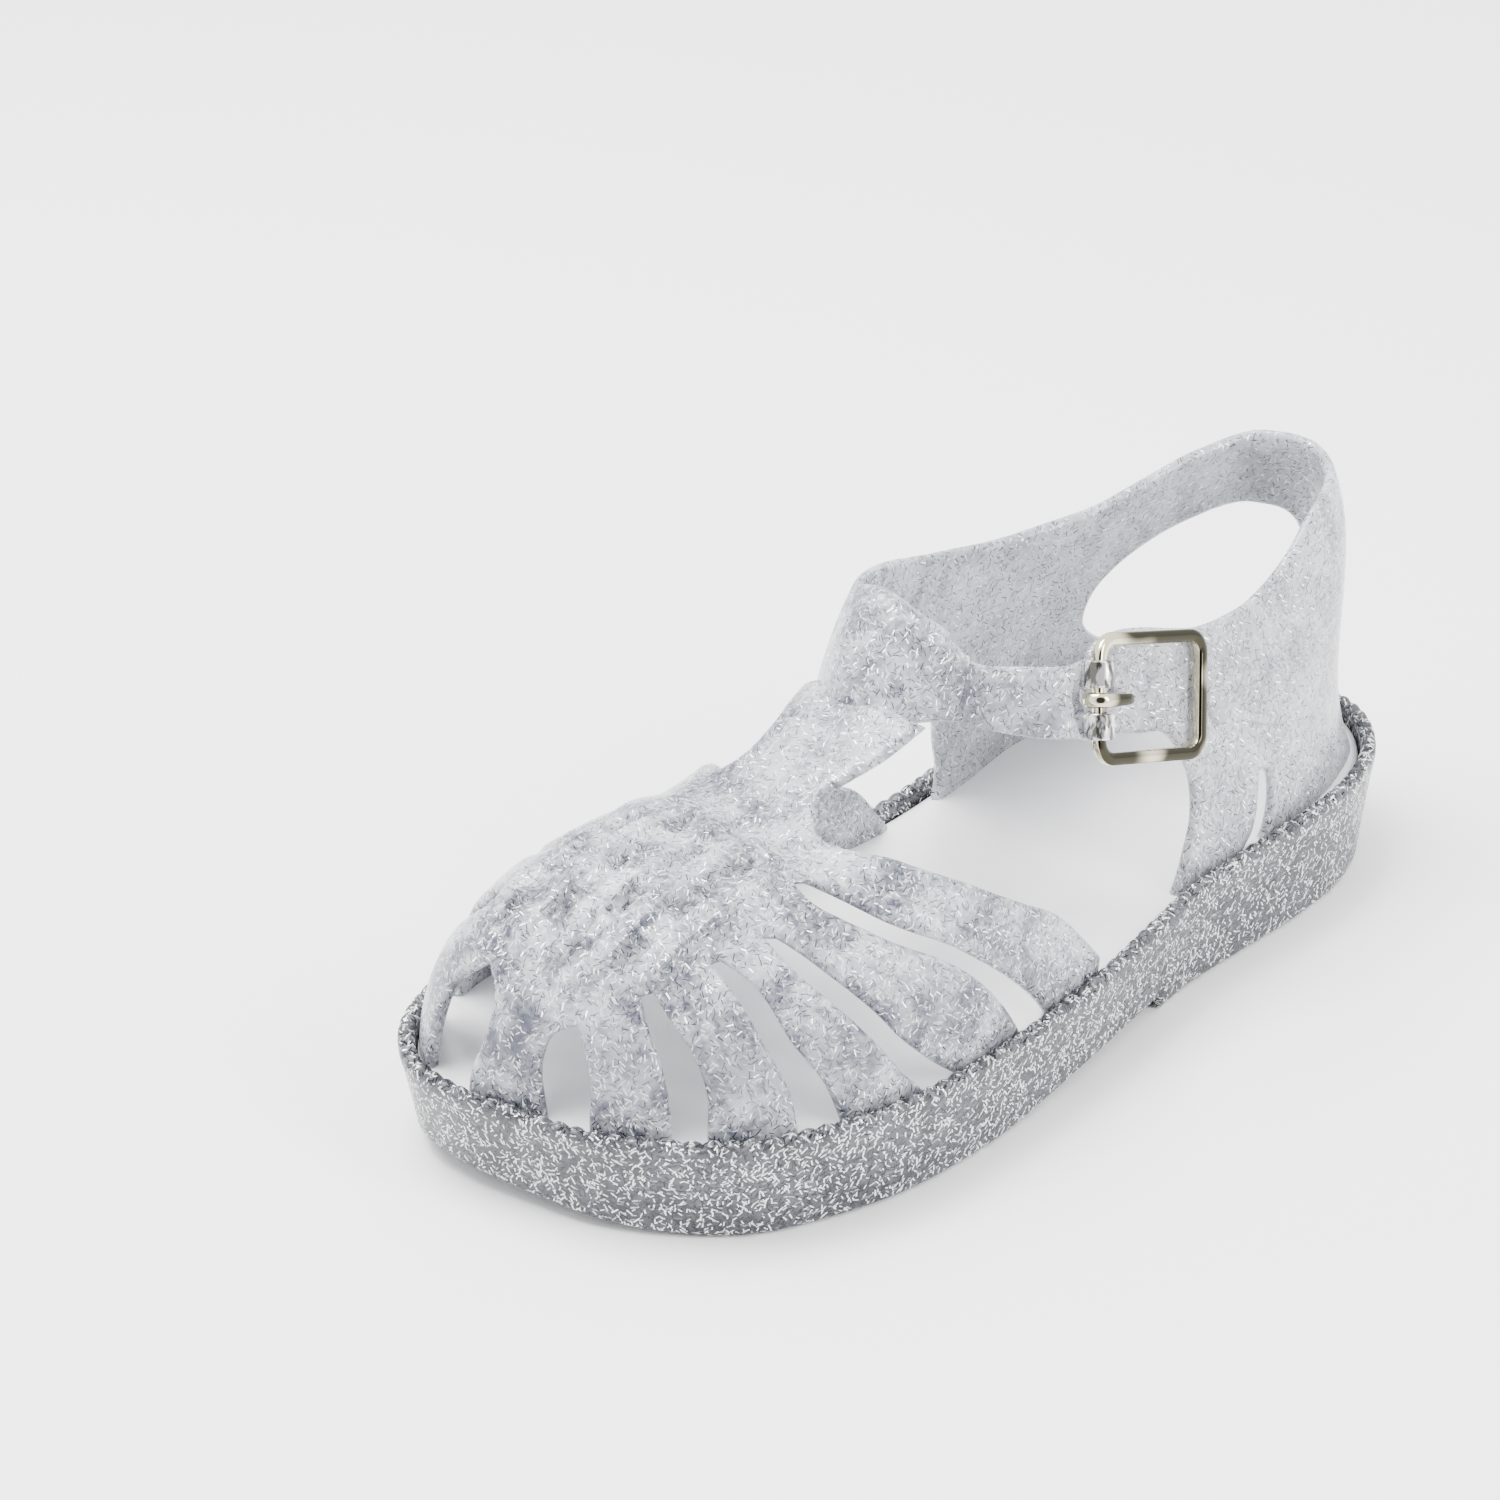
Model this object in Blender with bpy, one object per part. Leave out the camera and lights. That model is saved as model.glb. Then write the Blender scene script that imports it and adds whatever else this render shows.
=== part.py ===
"""A child's left jelly sandal: flatform sole, bare footbed, woven cage upper with a T-bar, and a buckled strap.

Metres. The toe points to -Y, the heel to +Y and the outer side of the foot to +X. The sole stands on z = 0.
"""

import math

import bmesh
import bpy
import numpy as np
from mathutils import Matrix, Vector
from mathutils.geometry import delaunay_2d_cdt

# Driving sizes of the shoe
LENGTH = 0.162
BALL = 0.069
SOLE_FORE = 0.0155
SOLE_HEEL = 0.0185
INSTEP = 0.0415
COLLAR = 0.0620
WALL = 0.0018
CLEARANCE = 0.0003

# Sole: side draft, edge round, toe spring, arch and the ribbed crest of its rim
SIDE_DRAFT = 0.0018
EDGE_ROUND = 0.0010
TOE_SPRING = 0.0028
ARCH_RISE = 0.0022
STEP_RUN = 0.0005
RIM_WIDTH = 0.0023
RIM_SHOULDER = 0.0006
RIB_RISE = 0.00028
RIM_OVER_BED = 0.0020
HEEL_STEP_AT = 0.118
ARCH_FROM = -0.130
TOE_SPRING_FROM = -0.380

# Footbed and the flange of the upper below its edge
BED_THICK = 0.0024
BED_LIP = 0.0010
BED_INSET = 0.0062
BED_DISH = 0.0006
FLANGE_INSET = 0.0039
FLANGE_WIDTH = 0.0030
FLANGE_THICK = 0.0011
WALL_INSET = 0.0027

# Weave and the T-bar
STRIP_PITCH = 0.0064
STRIP_WIDTH = 0.0036
STRIP_RISE = 0.0006
ROW_PITCH = 0.0052
WEAVE_HOLE = 0.0006
STRIPS = 5
WEAVE_FROM = -0.445
WEAVE_TO = -0.200
MIN_SPACING = 0.0006

# Buckle, its sleeve and prong
FRAME_LENGTH = 0.0214
FRAME_WIDTH = 0.0163
FRAME_CORNER = 0.0026
WIRE = 0.0019
SLEEVE_WALL = 0.0009
SLEEVE_LENGTH = 0.0108
PRONG_GAP = 0.0034
NOTCH_DEPTH = 0.0022
PRONG_WIDE = 0.0020
PRONG_THICK = 0.0011
PRONG_REACH = 0.0062
PRONG_HOLE = 0.0013

# Mesh fineness
STATIONS = 100
CREST_STEPS = 3
GRID = 0.0052
EDGE_STEP = 0.0040

# Rim outline seen from above, counter-clockwise from the toe: across as a share of BALL, along of LENGTH
OUTLINE = (
    (-0.260, -0.4955), (-0.120, -0.4960), (0.020, -0.4790), (0.180, -0.4530), (0.300, -0.4150),
    (0.405, -0.3640), (0.465, -0.3000), (0.498, -0.2320), (0.496, -0.1450), (0.472, -0.0650),
    (0.440, 0.0150), (0.398, 0.0860), (0.356, 0.1600), (0.338, 0.2400), (0.322, 0.3200),
    (0.286, 0.3920), (0.206, 0.4530), (0.085, 0.4910), (-0.040, 0.4995), (-0.150, 0.4930),
    (-0.262, 0.4620), (-0.358, 0.4010), (-0.412, 0.3300), (-0.426, 0.2500), (-0.405, 0.1700),
    (-0.372, 0.1000), (-0.360, 0.0250), (-0.385, -0.0650), (-0.440, -0.1500), (-0.492, -0.2400),
    (-0.497, -0.3300), (-0.455, -0.4100), (-0.370, -0.4680),
)

# Crest of the vamp and T-bar: along (LENGTH), across (BALL), height (INSTEP)
CREST = (
    (-0.5560, -0.0145, 1.000), (-0.2222, -0.0145, 1.000), (-0.1358, -0.0435, 1.133), (-0.0679, -0.0652, 1.265),
    (-0.0185, -0.0652, 1.422), (0.0370, -0.0652, 1.614), (0.0926, -0.0652, 1.807),
)
VAMP_SQUARE_ACROSS = 2.75
VAMP_SQUARE_UP = 2.30
VAMP_SINK = 0.0055

# Quarter and ankle strap: rows run from the outer side round the heel, each with a point at four heights.
# Heights are shares of COLLAR; across is a share of BALL and along of LENGTH.
QUARTER_LEVELS = (0.266, 0.484, 0.726, 0.968)
QUARTER = (
    ((0.307, 0.160), (0.272, 0.160), (0.203, 0.154), (0.152, 0.173)),
    ((0.293, 0.235), (0.255, 0.235), (0.188, 0.228), (0.135, 0.247)),
    ((0.275, 0.315), (0.239, 0.312), (0.177, 0.306), (0.116, 0.315)),
    ((0.226, 0.389), (0.194, 0.383), (0.159, 0.383), (0.099, 0.380)),
    ((0.128, 0.453), (0.101, 0.443), (0.101, 0.446), (0.067, 0.438)),
    ((-0.043, 0.478), (-0.043, 0.468), (-0.043, 0.479), (-0.043, 0.465)),
    ((-0.214, 0.453), (-0.188, 0.443), (-0.188, 0.446), (-0.154, 0.438)),
    ((-0.316, 0.389), (-0.283, 0.383), (-0.246, 0.383), (-0.186, 0.380)),
    ((-0.368, 0.315), (-0.330, 0.312), (-0.267, 0.306), (-0.203, 0.315)),
    ((-0.380, 0.235), (-0.345, 0.235), (-0.284, 0.228), (-0.232, 0.247)),
    ((-0.337, 0.136), (-0.324, 0.136), (-0.293, 0.136), (-0.261, 0.167)),
    ((-0.309, 0.031), (-0.294, 0.025), (-0.283, 0.019), (-0.268, 0.062)),
    ((-0.246, -0.099), (-0.232, -0.080), (-0.217, -0.068), (-0.225, -0.019)),
    ((-0.058, -0.179), (-0.058, -0.136), (-0.058, -0.096), (-0.072, -0.028)),
    ((0.145, -0.123), (0.130, -0.086), (0.087, -0.056), (0.043, 0.000)),
    ((0.283, 0.000), (0.246, 0.012), (0.181, 0.022), (0.116, 0.049)),
    ((0.319, 0.086), (0.280, 0.093), (0.203, 0.090), (0.152, 0.111)),
)

# Slots of the cage, outer side: each rail runs from the weave to the rim, across (BALL) and along (LENGTH)
SLOTS = (
    (((0.104, -0.457), (0.055, -0.480), (0.052, -0.505), (0.087, -0.548), (0.115, -0.600)),
     ((0.104, -0.457), (0.135, -0.469), (0.187, -0.492), (0.214, -0.527), (0.265, -0.575))),
    (((0.185, -0.404), (0.238, -0.420), (0.300, -0.434), (0.356, -0.453), (0.407, -0.478), (0.500, -0.525)),
     ((0.200, -0.395), (0.250, -0.400), (0.308, -0.404), (0.360, -0.410), (0.420, -0.423), (0.477, -0.450),
      (0.600, -0.505))),
    (((0.243, -0.344), (0.348, -0.347), (0.441, -0.351), (0.556, -0.354), (0.609, -0.361), (0.760, -0.385)),
     ((0.250, -0.336), (0.336, -0.327), (0.464, -0.327), (0.580, -0.315), (0.649, -0.312), (0.800, -0.310))),
    (((0.266, -0.295), (0.365, -0.289), (0.504, -0.262), (0.614, -0.233), (0.696, -0.208), (0.850, -0.175)),
     ((0.282, -0.285), (0.400, -0.264), (0.539, -0.229), (0.649, -0.198), (0.725, -0.176), (0.880, -0.128))),
    (((0.197, -0.238), (0.243, -0.240), (0.365, -0.211), (0.533, -0.159), (0.678, -0.119), (0.806, -0.092),
      (0.960, -0.068)),
     ((0.209, -0.228), (0.365, -0.196), (0.539, -0.144), (0.701, -0.095), (0.812, -0.065), (0.960, -0.035))),
)
MIDLINE = -0.022

# Back edge of the cage and sides of the T-bar: from the outer rim up to the loop, then down the inner side
CAGE_BACK_OUTER = (
    (0.950, 0.025), (0.875, 0.008), (0.707, -0.032), (0.504, -0.101), (0.319, -0.158), (0.122, -0.186),
    (0.094, -0.167), (0.122, -0.140), (0.155, -0.110), (0.182, -0.072),
)
CAGE_BACK_INNER = (
    (-0.176, -0.072), (-0.158, -0.100), (-0.138, -0.130), (-0.142, -0.158), (-0.185, -0.180), (-0.319, -0.146),
    (-0.480, -0.076), (-0.580, -0.030), (-0.680, 0.006), (-0.832, 0.037), (-0.950, 0.058),
)

# Quarter pattern unrolled: round the ankle as a share of its length, height as a share of COLLAR
TONGUE_AND_FRONT = (
    (-0.0545, 0.765), (-0.0480, 0.710), (-0.0330, 0.672), (-0.0130, 0.645), (0.0070, 0.620),
    (0.0135, 0.587), (0.0155, 0.560),
    (0.0187, 0.510), (0.0165, 0.445), (0.0126, 0.400), (0.0045, 0.342), (-0.002, 0.284), (-0.007, 0.235),
)
INNER_FRONT = (
    (0.552, 0.235), (0.550, 0.290), (0.5545, 0.400), (0.556, 0.470), (0.570, 0.560), (0.600, 0.640),
    (0.650, 0.715), (0.700, 0.775), (0.760, 0.800), (0.8145, 0.800), (0.8414, 0.782), (0.8644, 0.757),
    (0.9083, 0.716), (0.9280, 0.702),
)
STRAP_TOP = (
    (0.9280, 0.856), (0.8980, 0.870), (0.8518, 0.890), (0.8000, 0.935), (0.7400, 0.968), (0.6900, 0.975),
    (0.6436, 0.970), (0.5800, 0.930), (0.5207, 0.903), (0.4772, 0.906), (0.4372, 0.915), (0.4064, 0.948),
    (0.3707, 0.980), (0.3416, 0.993), (0.3042, 1.000), (0.2780, 0.997), (0.2520, 0.988), (0.2260, 0.976),
    (0.2000, 0.958), (0.1780, 0.931), (0.1625, 0.903), (0.1417, 0.860), (0.1220, 0.822), (0.1043, 0.800),
    (0.0780, 0.792), (0.0520, 0.800), (0.0290, 0.826), (0.0000, 0.862), (-0.0250, 0.878), (-0.0420, 0.868),
    (-0.0520, 0.825),
)
WINDOW = (
    (0.4215, 0.560), (0.4185, 0.655), (0.4020, 0.721), (0.3824, 0.755), (0.3564, 0.777), (0.3260, 0.789),
    (0.2977, 0.787), (0.2780, 0.768), (0.2686, 0.718), (0.2712, 0.637), (0.2847, 0.540), (0.3086, 0.465),
    (0.3390, 0.439), (0.3780, 0.450), (0.4060, 0.487),
)
HEEL_SLIT = (
    (0.0800, 0.430), (0.0752, 0.387), (0.0708, 0.329), (0.0648, 0.284), (0.0580, 0.257), (0.0735, 0.257),
    (0.0791, 0.277), (0.0813, 0.297), (0.0856, 0.355), (0.0856, 0.415),
)
STRAP_ROOT = (
    (0.0480, 0.587), (0.0730, 0.555), (0.0895, 0.523), (0.1187, 0.490), (0.1370, 0.478), (0.1400, 0.520),
    (0.1340, 0.590), (0.1270, 0.625), (0.0950, 0.650), (0.0480, 0.700),
)
LOOP_ENDS = (0.690, 0.838)
SLEEVE_AT = (-0.0550, 0.772)
FRAME_END_AT = (0.0400, 0.668)
LIFT_FROM = 0.880
LIFT_FULL = 0.920

# Prong from its eye to the hole: reach as a share of PRONG_REACH, height as a share of the eye's radius
PRONG_PATH = ((0.35, 0.98), (0.70, 0.90), (0.90, 0.45), (0.97, -0.40), (0.95, -1.15))


def hermite(u, step, here, there, slope_here, slope_there):
    """Cubic between two points, for shares u of the step between them."""
    return (
        (2 * u**3 - 3 * u**2 + 1) * here
        + (u**3 - 2 * u**2 + u) * step * slope_here
        + (-2 * u**3 + 3 * u**2) * there
        + (u**3 - u**2) * step * slope_there
    )


def closed_curve(points, count):
    """A smooth closed curve through the points, with count samples."""
    pts = np.array(points, float)
    after = np.roll(pts, -1, axis=0)
    ahead = np.linalg.norm(after - pts, axis=1)
    behind = np.roll(ahead, 1)
    before = np.roll(pts, 1, axis=0)
    slope = ((pts - before) / behind[:, None] * ahead[:, None] + (after - pts) / ahead[:, None] * behind[:, None])
    slope /= (ahead + behind)[:, None]
    run = np.concatenate([[0.0], np.cumsum(ahead)])
    along = np.linspace(0.0, run[-1], count, endpoint=False)
    k = np.searchsorted(run, along, side="right") - 1
    step = (run[k + 1] - run[k])[:, None]
    u = (along - run[k])[:, None] / step
    nxt = (k + 1) % len(pts)
    return hermite(u, step, pts[k], pts[nxt], slope[k], slope[nxt])


def open_curve(points, spacing):
    """A smooth open curve through the points, sampled about every spacing, both ends kept."""
    pts = np.array(points, float)
    gaps = np.linalg.norm(np.diff(pts, axis=0), axis=1)
    run = np.concatenate([[0.0], np.cumsum(gaps)])
    slope = np.gradient(pts, run, axis=0)
    count = max(2, int(round(run[-1] / spacing)) + 1)
    along = np.linspace(0.0, run[-1], count)
    k = np.clip(np.searchsorted(run, along, side="right") - 1, 0, len(gaps) - 1)
    step = (run[k + 1] - run[k])[:, None]
    u = (along - run[k])[:, None] / step
    return hermite(u, step, pts[k], pts[k + 1], slope[k], slope[k + 1])


def steady(y, at, values):
    """Interpolation that never overshoots its table."""
    at = np.asarray(at, float)
    values = np.asarray(values, float)
    step = np.diff(at)
    rise = np.diff(values) / step
    slope = np.zeros_like(values)
    both = rise[:-1] * rise[1:]
    slope[1:-1] = np.where(both > 0, 2 * both / (rise[:-1] + rise[1:] + 1e-30), 0)
    slope[0] = rise[0]
    slope[-1] = rise[-1]
    y = np.clip(y, at[0], at[-1])
    k = np.clip(np.searchsorted(at, y, side="right") - 1, 0, len(at) - 2)
    return hermite((y - at[k]) / step[k], step[k], values[k], values[k + 1], slope[k], slope[k + 1])


def smooth_step(x, start, end):
    t = np.clip((x - start) / (end - start), 0.0, 1.0)
    return t * t * (3 - 2 * t)


def rim_height(y):
    """Top of the sole's rim, which rises under the heel."""
    return SOLE_FORE + (SOLE_HEEL - SOLE_FORE) * smooth_step(y, -0.117 * LENGTH, 0.377 * LENGTH)


def ground(y):
    """Underside of the sole: toe spring, arch and the step down to the heel block."""
    past = np.clip((TOE_SPRING_FROM * LENGTH - y) / ((0.5 + TOE_SPRING_FROM) * LENGTH), 0.0, 1.0)
    arch = smooth_step(y, ARCH_FROM * LENGTH, (ARCH_FROM + 0.17) * LENGTH)
    block = np.clip((y - HEEL_STEP_AT * LENGTH) / STEP_RUN, 0.0, 1.0)
    return TOE_SPRING * past**2 + ARCH_RISE * arch * (1 - block)


def outward(points):
    """Unit normals of a counter-clockwise loop."""
    along = np.roll(points, -1, axis=0) - np.roll(points, 1, axis=0)
    along /= np.linalg.norm(along, axis=1)[:, None]
    return np.column_stack([along[:, 1], -along[:, 0]])


class Outline:
    """The rim seen from above, with the stations that sole, footbed and flange share."""

    def __init__(self):
        curve = closed_curve([(a * BALL, b * LENGTH) for a, b in OUTLINE], 2400)
        run = np.concatenate([[0.0], np.cumsum(np.linalg.norm(np.roll(curve, -1, 0) - curve, axis=1))])
        self.curve = np.vstack([curve, curve[:1]])
        self.run = run
        normal = outward(curve)
        self.normal = np.vstack([normal, normal[:1]])
        self.taken = set()
        coarse = np.linspace(0.0, run[-1], STATIONS, endpoint=False)
        for level in (HEEL_STEP_AT * LENGTH, HEEL_STEP_AT * LENGTH + STEP_RUN):
            self.snap(coarse, level)
        self.coarse = np.sort(coarse)
        ends = np.append(self.coarse[1:], self.coarse[0] + run[-1])
        parts = [self.coarse + (ends - self.coarse) * k / CREST_STEPS for k in range(CREST_STEPS)]
        self.fine = np.column_stack(parts).ravel() % run[-1]

    def snap(self, coarse, level):
        """Moves the nearest free station on each side to where the outline crosses this level."""
        over = self.curve[:-1, 1] - level
        nxt = self.curve[1:, 1] - level
        for k in np.where(over * nxt < 0)[0]:
            cross = self.run[k] + (self.run[k + 1] - self.run[k]) * over[k] / (over[k] - nxt[k])
            order = np.argsort(np.abs(coarse - cross))
            pick = next(i for i in order if i not in self.taken)
            coarse[pick] = cross
            self.taken.add(pick)

    def ring(self, inset, stations=None):
        """Points on the outline moved inwards by inset."""
        at = self.coarse if stations is None else stations
        x = np.interp(at, self.run, self.curve[:, 0]) - inset * np.interp(at, self.run, self.normal[:, 0])
        y = np.interp(at, self.run, self.curve[:, 1]) - inset * np.interp(at, self.run, self.normal[:, 1])
        return np.column_stack([x, y])


RIM = Outline()


class Vamp:
    """The outer surface of the cage, unrolled: across and along from the crest, a fan in front of its centre."""

    TURNS = np.linspace(0.0, math.pi / 2, 97)

    def __init__(self):
        rows = np.array(CREST)
        self.at = rows[:, 0] * LENGTH
        self.across = rows[:, 1] * BALL
        self.height = rows[:, 2] * INSTEP
        self.centre = self.at[1]
        wall = RIM.ring(WALL_INSET, np.linspace(0.0, RIM.run[-1], 1440, endpoint=False))
        x = wall[:, 0] - self.across[1]
        y = self.centre - wall[:, 1]
        turn = np.arctan2(y, x)
        order = np.argsort(turn)
        self.turn = turn[order]
        self.radius = np.hypot(x, y)[order]
        outer = wall[wall[:, 0] > self.across[-1]]
        inner = wall[wall[:, 0] <= self.across[-1]]
        self.outer = outer[np.argsort(outer[:, 1])]
        self.inner = inner[np.argsort(inner[:, 1])]

    def section(self, across, along):
        """Centre, direction, radius and profile of the section through each point."""
        fan = along < self.centre
        turn = np.arctan2(self.centre - along, across)
        side = np.where(across >= 0, 1.0, -1.0)
        dx = np.where(fan, np.cos(turn), side)
        dy = np.where(fan, -np.sin(turn), 0.0)
        base = np.where(fan, self.centre, along)
        cx = steady(base, self.at, self.across)
        cz = steady(base, self.at, self.height)
        outer = np.interp(along, self.outer[:, 1], self.outer[:, 0]) - cx
        inner = cx - np.interp(along, self.inner[:, 1], self.inner[:, 0])
        radius = np.where(fan, np.interp(turn, self.turn, self.radius), np.where(side > 0, outer, inner))
        low = rim_height(base + dy * radius) - VAMP_SINK
        reach = radius[:, None] * np.sin(self.TURNS) ** (2 / VAMP_SQUARE_ACROSS)
        rise = (cz - low)[:, None] * np.cos(self.TURNS) ** (2 / VAMP_SQUARE_UP)
        run = np.cumsum(np.hypot(np.diff(reach, axis=1), np.diff(rise, axis=1)), axis=1)
        run = np.hstack([np.zeros((len(radius), 1)), run])
        return cx, base, dx, dy, low, reach, rise, run

    def point(self, across, along):
        across = np.asarray(across, float)
        along = np.asarray(along, float)
        cx, base, dx, dy, low, reach, rise, run = self.section(across, along)
        length = np.where(along < self.centre, np.hypot(across, self.centre - along), np.abs(across))
        k = np.clip([np.searchsorted(r, a) for r, a in zip(run, length)], 1, len(self.TURNS) - 1)
        i = np.arange(len(across))
        share = (length - run[i, k - 1]) / (run[i, k] - run[i, k - 1] + 1e-12)
        r = reach[i, k - 1] + (reach[i, k] - reach[i, k - 1]) * share
        z = low + rise[i, k - 1] + (rise[i, k] - rise[i, k - 1]) * share
        return np.column_stack([cx + dx * r, base + dy * r, z])

    def foot(self, across, along, below_rim):
        """The pattern point straight down the wall from this one, this far below the rim's top."""
        across = np.atleast_1d(np.asarray(across, float))
        along = np.atleast_1d(np.asarray(along, float))
        _, base, dx, dy, low, reach, rise, run = self.section(across, along)
        target = VAMP_SINK - below_rim
        length = np.array([np.interp(target, v[::-1], r[::-1]) for v, r in zip(rise, run)])
        fan = along < self.centre
        x = np.where(fan, dx * length, np.sign(dx) * length)
        y = np.where(fan, self.centre + dy * length, along)
        return np.column_stack([x, y])


class Quarter:
    """The outer surface of heel, collar and ankle strap: round the ankle, and height."""

    def __init__(self):
        self.rows = np.array(QUARTER) * (BALL, LENGTH)
        self.levels = np.array(QUARTER_LEVELS) * COLLAR
        flat = self.rows[:, 1]
        self.run = np.concatenate([[0.0], np.cumsum(np.linalg.norm(np.roll(flat, -1, 0) - flat, axis=1))])
        self.length = self.run[-1]
        scaled = (self.levels - self.levels[1]) / COLLAR
        self.powers = np.linalg.inv(np.vander(scaled, 4))
        self.count = len(self.rows)

    def point(self, around, height):
        around = np.mod(np.asarray(around, float), self.length)
        height = np.asarray(height, float)
        bounded = np.clip(height, self.levels[0] - 0.004, self.levels[-1] + 0.006)
        weights = np.vander((bounded - self.levels[1]) / COLLAR, 4) @ self.powers
        k = np.clip(np.searchsorted(self.run, around, side="right") - 1, 0, self.count - 1)

        def row(j):
            return np.einsum("ij,ijc->ic", weights, self.rows[j % self.count])

        def gap(j):
            j = j % self.count
            return (self.run[j + 1] - self.run[j])[:, None]

        def slope(j):
            here, ahead, behind = row(j), gap(j), gap(j - 1)
            return ((here - row(j - 1)) / behind * ahead + (row(j + 1) - here) / ahead * behind) / (ahead + behind)

        step = gap(k)
        u = (around - self.run[k])[:, None] / step
        flat = hermite(u, step, row(k), row(k + 1), slope(k), slope(k + 1))
        return np.column_stack([flat, height])


VAMP = Vamp()
QUARTERS = Quarter()


def offset_point(surface, a, b, out):
    """Points off the surface by out along its outward normal, and that normal."""
    tiny = 0.0002
    a = np.asarray(a, float)
    b = np.asarray(b, float)
    across = surface.point(a + tiny, b) - surface.point(a - tiny, b)
    along = surface.point(a, b + tiny) - surface.point(a, b - tiny)
    normal = np.cross(across, along)
    normal /= np.linalg.norm(normal, axis=1)[:, None] + 1e-20
    return surface.point(a, b) + normal * np.asarray(out, float)[:, None], normal


def inside(loop, points):
    """Even-odd test of points in a closed loop."""
    x, y = points[:, 0], points[:, 1]
    result = np.zeros(len(points), bool)
    for (x0, y0), (x1, y1) in zip(loop, np.roll(loop, -1, axis=0)):
        crossing = (y0 > y) != (y1 > y)
        at = x0 + (y - y0) * (x1 - x0) / (y1 - y0 + 1e-30)
        result ^= crossing & (x < at)
    return result


def clearance(loops, points):
    """Distance of each point from the nearest loop edge."""
    best = np.full(len(points), 1e9)
    for loop in loops:
        for p, q in zip(loop, np.roll(loop, -1, axis=0)):
            edge = q - p
            t = np.clip(((points - p) @ edge) / (edge @ edge + 1e-30), 0, 1)
            best = np.minimum(best, np.linalg.norm(points - p - t[:, None] * edge, axis=1))
    return best


def triangulate(loops, extra):
    """Triangles between the first loop and the holes after it, through the extra points."""
    vertices = []
    edges = []
    for loop in loops:
        first = len(vertices)
        vertices += [Vector(p) for p in loop]
        edges += [(first + i, first + (i + 1) % len(loop)) for i in range(len(loop))]
    vertices += [Vector(p) for p in extra]
    out, _, faces, _, _, _ = delaunay_2d_cdt(vertices, edges, [], 0, 1e-7)
    points = np.array([tuple(p) for p in out])
    faces = np.array([tuple(f) for f in faces])
    middle = points[faces].mean(axis=1)
    keep = inside(loops[0], middle)
    for hole in loops[1:]:
        keep &= ~inside(hole, middle)
    return points, faces[keep]


def grid_points(loops, spacing, margin=0.5):
    """A staggered grid inside the loops, clear of their edges."""
    low = loops[0].min(axis=0)
    high = loops[0].max(axis=0)
    rows = np.arange(low[1] + spacing / 2, high[1], spacing * 0.87)
    points = []
    for j, y in enumerate(rows):
        x = np.arange(low[0] + (0.25 + 0.5 * (j % 2)) * spacing, high[0], spacing)
        points.append(np.column_stack([x, np.full(len(x), y)]))
    points = np.vstack(points)
    keep = inside(loops[0], points)
    for hole in loops[1:]:
        keep &= ~inside(hole, points)
    points = points[keep]
    return points[clearance(loops, points) > margin * spacing]


def material(name, color, metallic, roughness, transmission=0.0):
    mat = bpy.data.materials.new(name)
    mat.use_nodes = True
    shader = mat.node_tree.nodes["Principled BSDF"]
    shader.inputs["Base Color"].default_value = (*color, 1.0)
    shader.inputs["Metallic"].default_value = metallic
    shader.inputs["Roughness"].default_value = roughness
    shader.inputs["Transmission Weight"].default_value = transmission
    return mat


def add_object(name, vertices, faces, mat):
    """An object from a mesh with its faces turned outwards."""
    mesh = bpy.data.meshes.new(name)
    mesh.from_pydata([tuple(v) for v in vertices], [], [tuple(int(i) for i in f) for f in faces])
    bm = bmesh.new()
    bm.from_mesh(mesh)
    bmesh.ops.recalc_face_normals(bm, faces=bm.faces)
    if bm.calc_volume(signed=True) < 0:
        bmesh.ops.reverse_faces(bm, faces=bm.faces)
    bm.to_mesh(mesh)
    bm.free()
    mesh.shade_smooth()
    mesh.set_sharp_from_angle(angle=math.radians(40))
    obj = bpy.data.objects.new(name, mesh)
    bpy.context.scene.collection.objects.link(obj)
    if mat is not None:
        mesh.materials.append(mat)
    return obj


def thick_sheet(name, surface, loops, extra, top, bottom, mat):
    """A sheet cut to the pattern's loops, between the offsets that top and bottom give, closed round its edges."""
    points, faces = triangulate(loops, extra)
    a, b = points[:, 0], points[:, 1]
    outer, _ = offset_point(surface, a, b, top(a, b))
    inner, _ = offset_point(surface, a, b, bottom(a, b))
    count = len(points)
    edges = {}
    for face in faces:
        for i in range(3):
            edges[(face[i], face[(i + 1) % 3])] = True
    skirt = []
    for i, j in edges:
        if (j, i) not in edges:
            skirt.append((j, i, i + count))
            skirt.append((j, i + count, j + count))
    below = faces[:, ::-1] + count
    return add_object(name, np.vstack([outer, inner]), [*faces, *below, *skirt], mat)


def fine_loop(loop):
    return closed_curve(loop, max(12, int(np.linalg.norm(np.roll(loop, -1, 0) - loop, axis=1).sum() / EDGE_STEP)))


def bridge(lower, upper, count):
    """Triangles between two rings of the same count, given by their first vertices."""
    faces = []
    for i in range(count):
        j = (i + 1) % count
        faces.append((lower + i, lower + j, upper + j))
        faces.append((lower + i, upper + j, upper + i))
    return faces


def fan_bridge(coarse, fine, count, steps):
    """Triangles between a coarse ring and one with steps times as many points."""
    faces = []
    half = (steps + 1) // 2
    for i in range(count):
        j = (i + 1) % count
        near = [fine + (i * steps + k) % (count * steps) for k in range(steps + 1)]
        faces += [(coarse + i, near[k + 1], near[k]) for k in range(half)]
        faces.append((coarse + i, coarse + j, near[half]))
        faces += [(coarse + j, near[k + 1], near[k]) for k in range(half, steps)]
    return faces


def ring_at(inset, height, stations=None):
    """A ring of points at this inset; height is a function of their positions along the shoe."""
    flat = RIM.ring(inset, stations)
    return np.column_stack([flat, height(flat[:, 1])])


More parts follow.
